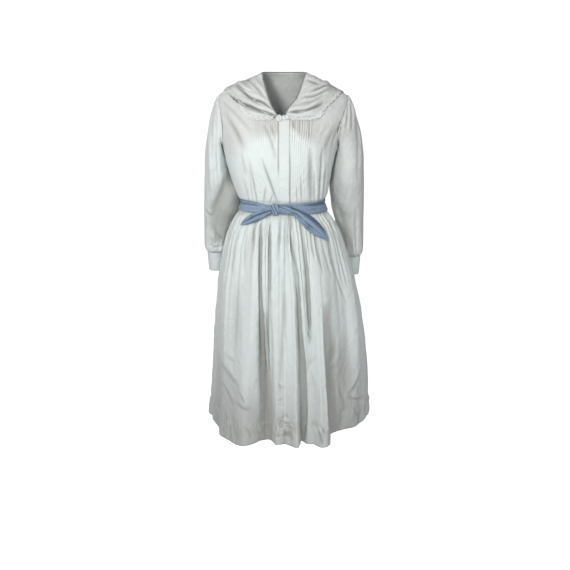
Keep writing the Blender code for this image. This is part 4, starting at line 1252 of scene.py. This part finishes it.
def collar_tab(cotton, dark):
    """The small gathered tab that joins the collar's ends, with its snap beside it."""
    for name, x, height, width, tall, deep, seat, ridges in TAB_FOLDS:
        def place(x1, y1, z1):
            dip = 0.5 + 0.5 * np.cos(2 * pi * ridges * (0.5 * x1 + 0.16 * z1 + 0.05 * np.sin(4 * z1)))
            across = x + x1 * width / 2
            level = height + z1 * tall / 2 * (1 - 0.18 * x1 * x1)
            base = bodice_point(angle_of(across, level), level)[1]
            y = base - seat - (1.1 - y1 * (1 - 0.26 * dip)) * deep / 2
            # Painted shade in the dips between the ridges, and towards the top and bottom.
            return (across, y, level), 0.40 * dip ** 3 + 0.15 * z1 * z1

        data = rounded_lump(name, 48, 32, 0.65, place)
        # A little of the warmer painted shade.
        mark_points(data, "painted_warm_shade", np.full(len(data.vertices), 0.3))
        piece(name + "_folds", data, cotton, [name])
    snap = bmesh.new()
    bmesh.ops.create_uvsphere(snap, u_segments=16, v_segments=10, radius=0.0022)
    x, height = SNAP_PLACE
    centre = bodice_point(angle_of(x, height), height) + (0, -0.0072, 0)
    bmesh.ops.translate(snap, verts=snap.verts, vec=centre)
    piece("collar_snap", shape_mesh("collar_snap", snap), dark)


# Skirt


def back_folds():
    """Soft folds round the back, from the last fold of one front panel to the first of the other."""
    rows = [FRONT_FOLDS[-1]]
    for i in range(1, BACK_FOLDS):
        angle = 90 + 180 * i / BACK_FOLDS + 2.5 * np.sin(2.1 * i)
        size = (1 if i % 2 else -1) * (0.8 + 0.35 * np.sin(1.7 * i + 0.4))
        rows.append((angle, angle, angle + 1.5 * np.sin(3.3 * i), BACK_HIP_PUSH * size, BACK_HEM_PUSH * size))
    left = FRONT_FOLDS[0]
    rows.append((270, 270, 360 + left[2], left[3], left[4]))
    return rows


def down_the_skirt(heights, *values):
    """Values by column at the waist, above the hip, at the hip and at the hem, for every row."""
    stops = (WAIST, GATHERED, FOLD_MIDDLE, HEM)
    return np.stack([smooth_curve(stops, given, heights) for given in zip(*values)], axis=1)


def skirt_waves(rows, phase, seed):
    """The uneven gathers of the skirt, and the fine ones right below the belt."""
    gather = section(SKIRT_SECTIONS, rows)[-1]
    uneven = 1 + 0.40 * np.sin(0.41 * phase + 1) + 0.35 * np.sin(0.73 * phase + seed)
    drawn = 0.5 * phase + 1.1 * np.sin(0.23 * phase + seed) + 0.5 * np.sin(0.61 * phase + 2 * seed)
    wave = 2 * np.abs(np.sin(drawn)) ** 0.75 - 1.2
    reach = -0.66 + 0.16 * np.sin(0.9 * phase + seed)
    waves = (0.7 * gather * uneven + 0.0010 * ease(-rows, 0.42, 0.50)) * wave
    fine = 0.0005 * ease(rows, -0.62, -0.46) * ease(-rows, 0.405, 0.425)
    fine = fine * np.cos(2.7 * phase + 1.7 * np.sin(0.31 * phase) + 4 * (rows - WAIST))
    return waves * ease(rows, reach - 0.20, reach) + fine


def hem_sewing(rows, u, v, seed):
    """The line of the hem's stitches, and the puckers round it and on the doubled cloth below."""
    below_line = HEM_LINE - rows
    stitch = bell(below_line, 0.0014) * (0.55 + 0.45 * soft_noise(u, v, 0.009, 1, seed + 7))
    puckered = bell(below_line, 0.014) * soft_noise(u, v, 0.0065, 0.024, seed + 5)
    puckered += 0.7 * ease(below_line, 0, 0.01) * soft_noise(u, v, 0.012, 0.060, seed + 6)
    doubled = 0.0011 * ease(below_line, -0.001, 0.001) - 0.0004 * bell(rows - HEM, 0.0022)
    return stitch, puckered, doubled


def skirt_grid(heights, folds, share, gathers, seed):
    """Points of a panel in its folds and gathers, its outward way, and how far both push it."""
    rows = heights[:, None]
    places = share * (len(folds) - 1)
    waist_angle, hip_angle, hem_angle, hip_push, hem_push = tracks(folds, places)
    angle = down_the_skirt(heights, waist_angle, waist_angle, hip_angle, hem_angle)
    waves = skirt_waves(rows, 2 * pi * gathers * share, seed)
    push = down_the_skirt(heights, 0 * hip_push, 0 * hip_push, hip_push, hem_push) + waves
    along = skirt_point(angle + 1, rows) - skirt_point(angle - 1, rows)
    away = unit(stacked(along[..., 1], -along[..., 0], 0))
    return raised(skirt_point(angle, rows), away, push), away, waves, push


def skirt_panel(name, folds, columns, gathers, creases, seed, width, area, cotton, thread):
    seamed = name != "skirt_back"
    heights = stepped((WAIST - SEAM, GATHERS_END, 52), (GATHERS_END, HEM_LINE, 98), (HEM_LINE, HEM, 15))
    rows = heights[:, None]
    share = np.linspace(0, 1, columns + 1)
    points, away, waves, push = skirt_grid(heights, folds, share, gathers, seed)
    inside = ease(np.minimum(share, 1 - share), 0, 0.025)
    normals = unit(away + (grid_normals(points) - away) * inside[:, None])
    laid = crease_relief(points, creases)
    u, v = cloth_lengths(points)
    stitch, puckered, doubled = hem_sewing(rows, u, v, seed)
    rough = rumple(u, v, seed, 0.0011) * ease(-rows, 0.41, 0.47) - 0.0007 * stitch + 0.0026 * puckered
    crumple = seamed * crumpled_hem(points)
    relief = laid + rough * inside + doubled + seamed * front_seam(points) + crumple
    points = raised(points, normals, relief)
    # Painted shade, summed in depth: in creases, gathers, the crumpled hem and puckers, along the hem's
    # stitches, deep in the folds, towards the hem, right below the belt, where the skirt turns from the light
    # and along the centre seam.
    depth = 0.9 * hollow_of(laid, 0.005) + 0.6 * hollow_of(waves, 0.0043) + hollow_of(crumple, 0.006)
    depth += 0.24 * stitch + 0.50 * hollow_of(puckered, 0.8) + 0.50 * ease(-push, 0.012, 0.030)
    depth += 0.26 * ease(-rows, 0.84, 1.13) + 0.40 * ease(rows, -0.440, -0.419)
    depth += turned_away(points) + seamed * seam_shade(points)
    # The skirt also greys to the warmer painted shade towards the hem.
    cloth(name, points, normals, {"painted_warm_shade": 0.45 * ease(-rows, 0.70, 1.10), "painted_shade": depth}, cotton,
          "skirt", flat=(width, 0.76), held="gathered", area=area, rests_on=BODICE_CLOTH)
    i = nearest(heights, HEM_LINE)
    stitch_row(name + "_hem_stitches", points[i], normals[i], HEM_STITCH, thread)
    if name == "skirt_front_left":
        low, high = SEAM_SHOWN
        seam = (heights > low) & (heights < high)
        stitch_row("skirt_seam_stitches", points[seam, 0], normals[seam, 0], SEAM_STITCH, thread,
                   SEAM_THREAD)


def turned_away(points):
    """Painted shade: the broad dip on the right of the front skirt and its lower left see less light."""
    x, z = x_and_height(points)
    middle = np.interp(-z, (0.45, 0.70, 1), (0.110, 0.150, 0.165))
    ends = ease(-z, 0.42, 0.50) * ease(z, -1.02, -0.90)
    below = -0.885 - 1.05 * (x + 0.204) - z
    left = 0.34 * ease(below, -0.020, 0.050) * ease(-x, 0.03, 0.09)
    return (0.40 * bell(x - middle, 0.036) * ends + left) * ease(-points[..., 1], 0, 0.04)


def front_seam(points):
    """The stitched seam down the centre front of the skirt, with tiny puckers across it."""
    x, z = x_and_height(points)
    pucker = soft_noise(x, z, 0.008, 0.012, 97) * bell(x - CENTRE_X, 0.0100)
    return (0.0012 * pucker - 0.0006 * bell(x - CENTRE_X, 0.0025)) * ease(-z, 0.72, 0.82)


def seam_shade(points):
    """Painted shade along the drawn-in cloth between the stitches of the centre seam."""
    return 0.16 * bell(points[..., 0] - CENTRE_X, 0.0060) * ease(-points[..., 2], 0.78, 0.84)


def crumpled_hem(points):
    """The creased bottom of the centre seam, where the hem is sewn over it."""
    x, z = x_and_height(points)
    around = np.exp(-((x - 0.002) / 0.034) ** 4 - ((z + 1.070) / 0.044) ** 4)
    slant = soft_noise(x + 0.5 * z, z - 0.3 * x, 0.026, 0.0085, 98)
    cross = soft_noise(x - 0.8 * z, z + 0.4 * x, 0.017, 0.0100, 99)
    return around * (0.0026 - 0.0064 * np.abs(slant) - 0.0046 * np.abs(cross))


def skirt(cotton, thread):
    panels = [
        # name, folds, columns, gathers, creases, seed, flat width, flat area
        ("skirt_front_right", FRONT_FOLDS[:CENTRE_FOLD + 1], 180, GATHERS, SKIRT_CREASES, 71, 0.46, 0.330),
        ("skirt_front_left", FRONT_FOLDS[CENTRE_FOLD:], 180, GATHERS, SKIRT_CREASES, 76, 0.46, 0.330),
        ("skirt_back", back_folds(), 200, 2 * GATHERS, SKIRT_BACK_CREASES, 81, 0.80, 0.570),
    ]
    for panel in panels:
        skirt_panel(*panel, cotton, thread)


# Belt


def belt_point(angle, height, ripple):
    """Points of the belt, over the bodice or over the crests of the skirt's gathers."""
    under = np.minimum(height, WAIST)
    below = skirt_point(angle, under)
    below = raised(below, unit(below * (1, 1, 0)), 1.5 * section(SKIRT_SECTIONS, under)[-1])
    above = bodice_point(angle, np.maximum(height, WAIST))
    points = np.where((height >= WAIST)[..., None], above, below)
    points[..., 2] = height
    return raised(points, unit(points * (1, 1, 0)), BELT_OUT + ripple)


def belt_band(chambray):
    angle, share = np.broadcast_arrays(np.linspace(-180, 180, 301), np.linspace(0, 1, 24)[:, None])
    top, bottom = section(BELT_EDGES, angle)
    around = np.radians(angle)
    ripple = BELT_RIPPLE * (1 + np.sin(2 * pi * share + 3 * around))
    squeeze = ease(np.abs(angle + 12), 42, 8)
    pleats = np.sin(2 * pi * (2.6 * share + 0.25 * np.sin(2 * around + 1)))
    ripple += (0.0007 + 0.0006 * squeeze) * pleats
    u = around * 0.13
    v = share * 0.035
    ripple += 0.0012 * soft_noise(u, v, 0.045, 0.009, 91)
    ripple += 0.0007 * soft_noise(u + 0.3 * v, v, 0.020, 0.005, 92)
    ripple -= 0.0010 * (bell(share, 0.06) + bell(1 - share, 0.06))
    points = belt_point(angle, top + (bottom - top) * share, ripple)
    points[:, -1] = points[:, 0]
    normals = grid_normals(points, ring=True)
    # Painted shade: darker in the band's dips, and on the right of its front.
    shade = 0.25 * ease(angle, 5, 40) * ease(-angle, -130, -80)
    cloth("belt_band", points, normals, {"painted_shade": ease(-ripple, -0.0006, 0.0018) + shade}, chambray,
          "belt", ring=True, thickness=0.0014, flat=(0.80, BELT_WIDTH), held="stretched",
          rests_on=BODICE_CLOTH)


def front_cover(x, height):
    """How far forward the belt, or the skirt below it, reaches at points of the front."""
    under = np.minimum(height, WAIST)
    skirt_y = skirt_point(angle_of(x, under, SKIRT_SECTIONS), under)[..., 1]
    skirt_y = skirt_y - 1.5 * section(SKIRT_SECTIONS, under)[-1]
    level = np.maximum(height, BELT_LOW)
    ripple = np.full(np.shape(level), 2 * BELT_RIPPLE)
    belt_y = belt_point(angle_of(x, np.minimum(level, WAIST)), level, ripple)[..., 1]
    fade = np.clip((BELT_LOW - height) / 0.012, 0, 1)
    return np.minimum(skirt_y, belt_y + (skirt_y - belt_y) * fade)


def belt_tail(name, chambray):
    """A pointed tail with the long creases of the folded cloth, lying on the front of the skirt."""
    stations = BELT_TAILS[name]
    at = np.linspace(0, len(stations) - 1, 110)[:, None]
    x, height, width, stand_off = tracks(stations, at)
    path = np.concatenate((x, height), axis=1)
    run = unit(np.gradient(path, axis=0))
    across = np.linspace(-1, 1, 31)
    px = x - run[:, 1:] * across * width / 2
    pz = height + run[:, :1] * across * width / 2
    share = np.linspace(0, 1, 110)[:, None]
    full = np.minimum(1, width / 0.02)
    laid = 0.0009 * soft_noise(share * 0.16, across * 0.017, 0.014, 0.006, 95) * full
    for start, end, wide, depth in TAIL_CREASES[name]:
        middle = start + (end - start) * share
        laid = laid + depth * bell(across - middle, wide) * ease(1 - share, 0, 0.4)
    edges = -0.0012 * bell(1 - np.abs(across), 0.09) * full
    relief = 0.0016 * (1 - np.abs(across)) * full + laid + edges
    points = stacked(px, front_cover(px, pz) - stand_off - relief, pz)
    normals = grid_normals(points)
    # Painted shade in the tail's creases and along its edges.
    marks = {"painted_shade": hollow_of(laid, 0.0022) + hollow_of(edges, 0.0020)}
    length = float(run_along(path)[-1])
    cloth(name, points, normals, marks, chambray, "belt", thickness=0.0013,
          flat=(round(length, 3), BELT_WIDTH), held="draped", area=round(0.9 * length * BELT_WIDTH, 5),
          rests_on=["belt_band_cloth", "skirt_front_left_cloth"])


def belt_knot(chambray):
    """The tied knot: the wrap over the band, and the folded roll that comes out of it."""
    for name, x, height, width, tall, deep, stand_off, turn, upright in KNOT_ROLLS:
        y = float(front_cover(np.array(x), np.array(height))) - deep / 2 - stand_off

        def place(x1, y1, z1):
            way = x1 + 0.25 * z1 if upright else z1 + 0.30 * x1
            over = z1 if upright else x1
            bend = 0.07 * np.sin(3 * over) + 0.08 * np.sin(2.3 * way + 1)
            crease = 0.5 - 0.5 * np.cos(2 * pi * KNOT_RIDGES * (0.5 * way + bend))
            body = 1 - 0.40 * crease ** 2 * (1 - abs(over) ** 4)
            dx = x1 * width / 2 * (1 - 0.16 * (1 - abs(over)) if upright else 1)
            dz = z1 * tall / 2 * (1 if upright else 1 - 0.22 * max(0, -x1))
            across = x + dx * np.cos(turn) - dz * np.sin(turn)
            level = height + dx * np.sin(turn) + dz * np.cos(turn)
            # Painted shade in the creases between the ridges and towards the ends.
            return (across, y + y1 * deep / 2 * body, level), crease ** 3 + 0.7 * abs(way) ** 4

        piece(name, rounded_lump(name, 96, 64, 0.72, place), chambray, ["belt_knot"])


# Materials


def feed(node, inputs):
    """Give inputs of a node their value, or the socket that leads to them."""
    for key, value in inputs.items():
        if isinstance(value, bpy.types.NodeSocket):
            node.id_data.links.new(value, node.inputs[key])
        else:
            node.inputs[key].default_value = value


def join(tree, kind, inputs, **settings):
    """A shader node with its settings and inputs given."""
    node = tree.nodes.new(kind)
    for key, value in settings.items():
        setattr(node, key, value)
    feed(node, inputs)
    return node


def maths(tree, operation, a, b=0):
    return join(tree, "ShaderNodeMath", {0: a, 1: b}, operation=operation).outputs[0]


def weighted(tree, total, *parts):
    """Sockets times their weights, added to a first value."""
    for socket, weight in parts:
        inputs = {0: socket, 1: weight, 2: total}
        total = join(tree, "ShaderNodeMath", inputs, operation="MULTIPLY_ADD").outputs[0]
    return total


def mixed(tree, share, a, b, blend="MIX"):
    node = join(tree, "ShaderNodeMix", {0: share, 6: a, 7: b}, data_type="RGBA", blend_type=blend)
    return node.outputs[2]


def mark(tree, name):
    return join(tree, "ShaderNodeAttribute", {}, attribute_name=name).outputs["Fac"]


def noise(tree, scale, detail, **more):
    """Soft clouds through the whole object."""
    place = join(tree, "ShaderNodeTexCoord", {}).outputs["Object"]
    inputs = {"Vector": place, "Scale": scale, "Detail": detail, **more}
    return join(tree, "ShaderNodeTexNoise", inputs).outputs[0]


def graded(tree, value, low, high, ends=(0, 1)):
    """A colour between two, read off a ramp."""
    ramp = join(tree, "ShaderNodeValToRGB", {0: value})
    for element, colour, position in zip(ramp.color_ramp.elements, (low, high), ends):
        element.color = colour
        element.position = position
    return ramp.outputs[0]


def weave(tree, pitch, along, across):
    """A plain weave on the cloth's own map: its height, and its uneven warp and weft threads."""
    threads = join(tree, "ShaderNodeUVMap", {}, uv_map="threads").outputs[0]
    parts = join(tree, "ShaderNodeSeparateXYZ", {0: threads})
    u, v = (maths(tree, "SINE", maths(tree, "MULTIPLY", part, 2 * pi / pitch)) for part in parts.outputs[:2])
    drawn = []
    for stretch in ((along, across, 1), (across, along, 1)):
        place = join(tree, "ShaderNodeMapping", {0: threads, 3: stretch}).outputs[0]
        drawn.append(join(tree, "ShaderNodeTexNoise", {"Vector": place, "Scale": 3, "Detail": 2}).outputs[0])
    return maths(tree, "MULTIPLY", u, v), *drawn


def bumped(tree, *layers):
    """Layers of relief over each other, each a height, a distance and a strength."""
    inputs = {}
    for height, distance, strength in layers:
        inputs.update({"Height": height, "Distance": distance, "Strength": strength})
        inputs["Normal"] = join(tree, "ShaderNodeBump", inputs).outputs[0]
    return inputs["Normal"]


def start_material(name):
    made = bpy.data.materials.new(name)
    made.use_nodes = True
    return made, made.node_tree


def finish_material(made, colour, normal, **rest):
    """Lead the colour and the relief to the surface; the rest are its plain values."""
    shader = made.node_tree.nodes["Principled BSDF"]
    feed(shader, {"Base Color": colour, "Normal": normal, **rest})
    return made


def cotton_cloth(name, painted_shade_tone, embroidered=False):
    """Crisp plain-weave cotton with slubs and fine rumples, with painted shade: a warmer grey where the cloth
    turns from the light, and darker tones in its creases and shaded parts.
    """
    made, tree = start_material(name)
    crossing, warp, weft = weave(tree, 0.00060, 260, 12)
    cloud = noise(tree, 9, 3)
    creased = noise(tree, 60, 4, Roughness=0.6)
    folded = noise(tree, 24, 2, Distortion=0.9)
    lines = maths(tree, "MULTIPLY", maths(tree, "ABSOLUTE", maths(tree, "SUBTRACT", folded, 0.5)), 8)
    # Painted shade: the lit cool white turns to a warmer, darker grey as far as the points are marked.
    base = mixed(tree, mark(tree, "painted_warm_shade"), COTTON_COOL, COTTON_WARM_SHADE)
    tone = weighted(tree, 0.92, (cloud, 0.06), (warp, 0.05), (weft, 0.05))
    grey = join(tree, "ShaderNodeCombineColor", {0: tone, 1: tone, 2: tone}).outputs[0]
    tinted = mixed(tree, 1, base, grey, "MULTIPLY")
    # Painted shade: the colour is multiplied by a darker tone as far as the points are marked, in creases,
    # under edges and where the cloth turns from the light.
    colour = mixed(tree, mark(tree, "painted_shade"), tinted, mixed(tree, 1, tinted, painted_shade_tone, "MULTIPLY"))
    layers = [
        (crossing, 0.00006, 0.35),
        (maths(tree, "ADD", warp, weft), 0.0002, 0.30),
        (creased, 0.0022, 0.42),
        (maths(tree, "MINIMUM", lines, 1), 0.0016, 0.45),
    ]
    if embroidered:
        satin = mark(tree, "satin")
        colour = mixed(tree, maths(tree, "MULTIPLY", satin, 0.6), colour, SATIN)
        layers.append((satin, 0.0008, 0.6))
    return finish_material(made, colour, bumped(tree, *layers), **COTTON_SHINE)


def chambray_cloth():
    """Blue warp and paler weft, uneven from thread to thread."""
    made, tree = start_material("blue_chambray")
    crossing, warp, weft = weave(tree, 0.00075, 420, 26)
    cloud = noise(tree, 70, 3)
    over = weighted(tree, 0, (crossing, 0.16), (warp, 0.55), (weft, 0.35))
    blue = graded(tree, over, CHAMBRAY_DEEP, CHAMBRAY_PALE, (0.28, 0.72))
    worn = mixed(tree, maths(tree, "MULTIPLY", cloud, 0.35), blue, CHAMBRAY_WORN)
    # Painted shade: darker blue as far as the points are marked.
    colour = mixed(tree, maths(tree, "MULTIPLY", mark(tree, "painted_shade"), 0.75), worn, CHAMBRAY_SHADE)
    normal = bumped(tree, (crossing, 0.00010, 0.5), (maths(tree, "ADD", warp, weft), 0.0004, 0.45),
                    (cloud, 0.0012, 0.35))
    return finish_material(made, colour, normal, **CHAMBRAY_SHINE)


def small_finish(name, pale, deep, scale, roughness, coat):
    """A finish with soft clouds of two near greys, for buttons, thread and the snap."""
    made, tree = start_material(name)
    cloud = noise(tree, scale, 3, Distortion=1.2)
    colour = mixed(tree, cloud, (*pale, 1), (*deep, 1))
    normal = bumped(tree, (cloud, 0.0001, 0.2))
    return finish_material(made, colour, normal, **{"Roughness": roughness, "Coat Weight": coat})


# Floor, light and camera


def place_object(name, data):
    made = bpy.data.objects.new(name, data)
    bpy.context.collection.objects.link(made)
    return made


def backdrop():
    """A plain pale floor that reads almost as bright as the background."""
    shape = bmesh.new()
    bmesh.ops.create_grid(shape, x_segments=1, y_segments=1, size=8)
    bmesh.ops.translate(shape, verts=shape.verts, vec=(0, 0, FLOOR))
    data = bpy.data.meshes.new("floor")
    shape.to_mesh(data)
    shape.free()
    floor = place_object("floor", data)
    made, tree = start_material("pale_floor")
    colour = mixed(tree, noise(tree, 3, 2), (0.30, 0.30, 0.30, 1), (0.32, 0.32, 0.32, 1))
    feed(tree.nodes["Principled BSDF"], {
        "Base Color": colour, "Roughness": 1, "Specular IOR Level": 0,
        "Emission Color": (1, 1, 1, 1), "Emission Strength": 0.97,
    })
    data.materials.append(made)
    floor.visible_diffuse = False
    floor.visible_glossy = False


def surroundings():
    """White to the eye, and a soft even light of less strength for the cloth."""
    world = bpy.data.worlds.new("studio")
    bpy.context.scene.world = world
    world.use_nodes = True
    tree = world.node_tree
    tree.nodes.clear()
    seen = join(tree, "ShaderNodeBackground", {"Color": (1, 1, 1, 1), "Strength": 1.05})
    way = join(tree, "ShaderNodeTexCoord", {}).outputs["Generated"]
    upward = join(tree, "ShaderNodeSeparateXYZ", {0: way}).outputs[2]
    light = graded(tree, weighted(tree, 0.5, (upward, 0.5)), (0.23, 0.23, 0.23, 1), (0.38, 0.385, 0.39, 1))
    fill = join(tree, "ShaderNodeBackground", {"Color": light, "Strength": 1})
    ray = join(tree, "ShaderNodeLightPath", {}).outputs["Is Camera Ray"]
    both = join(tree, "ShaderNodeMixShader", {0: ray, 1: fill.outputs[0], 2: seen.outputs[0]})
    join(tree, "ShaderNodeOutputWorld", {0: both.outputs[0]})


def lights():
    lamps = [
        # name, place, target, size, watts, colour, spread in degrees
        ("key", (-0.70, -2.25, 0.40), (0.02, 0, -0.16), 0.55, 4.7, (1, 0.997, 0.990), 72),
        ("front", (0.20, -3.30, -0.30), (0, 0, -0.30), 2, 18, (0.985, 1, 1), 170),
        ("left", (-2.2, -1.7, -0.1), (0, 0, -0.45), 1, 2.3, (1, 1, 1), 100),
        ("right", (2.1, -1.6, -0.7), (0, 0, -0.9), 1, 2.1, (0.97, 0.99, 1), 90),
        ("back", (-1.2, 2.4, 1), (0, 0, -0.4), 1.4, 20, (1, 1, 1), 140),
    ]
    for name, place, target, size, watts, colour, spread in lamps:
        lamp = bpy.data.lights.new(name, "AREA")
        lamp.shape = "DISK"
        lamp.size = size
        lamp.energy = watts
        lamp.color = colour
        lamp.spread = radians(spread)
        made = place_object(name, lamp)
        made.location = place
        x, y, z = np.array(target) - np.array(place)
        made.rotation_euler = (np.arctan2(np.hypot(x, y), -z), 0, np.arctan2(-x, y))


def camera():
    seen = bpy.data.cameras.new("camera")
    seen.lens = 56.2
    seen.sensor_width = 36
    made = place_object("camera", seen)
    made.location = (0, -2.80, 0.01)
    made.rotation_euler = (radians(90 - 13.6), 0, 0)
    bpy.context.scene.camera = made


def dress():
    cotton = cotton_cloth("white_cotton", COTTON_PAINTED_SHADE)
    trimmed = cotton_cloth("embroidered_cotton", COLLAR_PAINTED_SHADE, embroidered=True)
    chambray = chambray_cloth()
    pearl = small_finish("pearl_button", (0.82, 0.82, 0.79), (0.68, 0.69, 0.68), 220, 0.28, 0.4)
    thread = small_finish("white_thread", (0.92, 0.93, 0.92), (0.84, 0.85, 0.84), 900, 0.7, 0)
    snap = small_finish("dark_snap", (0.10, 0.10, 0.10), (0.05, 0.05, 0.05), 500, 0.4, 0)
    for side in ("left", "right"):
        front_panel(side, cotton)
        sleeve(side, cotton)
        cuff(side, cotton, pearl, thread)
    back_panel(cotton)
    placket(cotton, thread)
    collar(trimmed)
    collar_tab(trimmed, snap)
    skirt(cotton, thread)
    belt_band(chambray)
    belt_knot(chambray)
    for name in BELT_TAILS:
        belt_tail(name, chambray)


camera()
surroundings()
lights()
backdrop()
bpy.context.scene.view_settings.view_transform = "Standard"
dress()
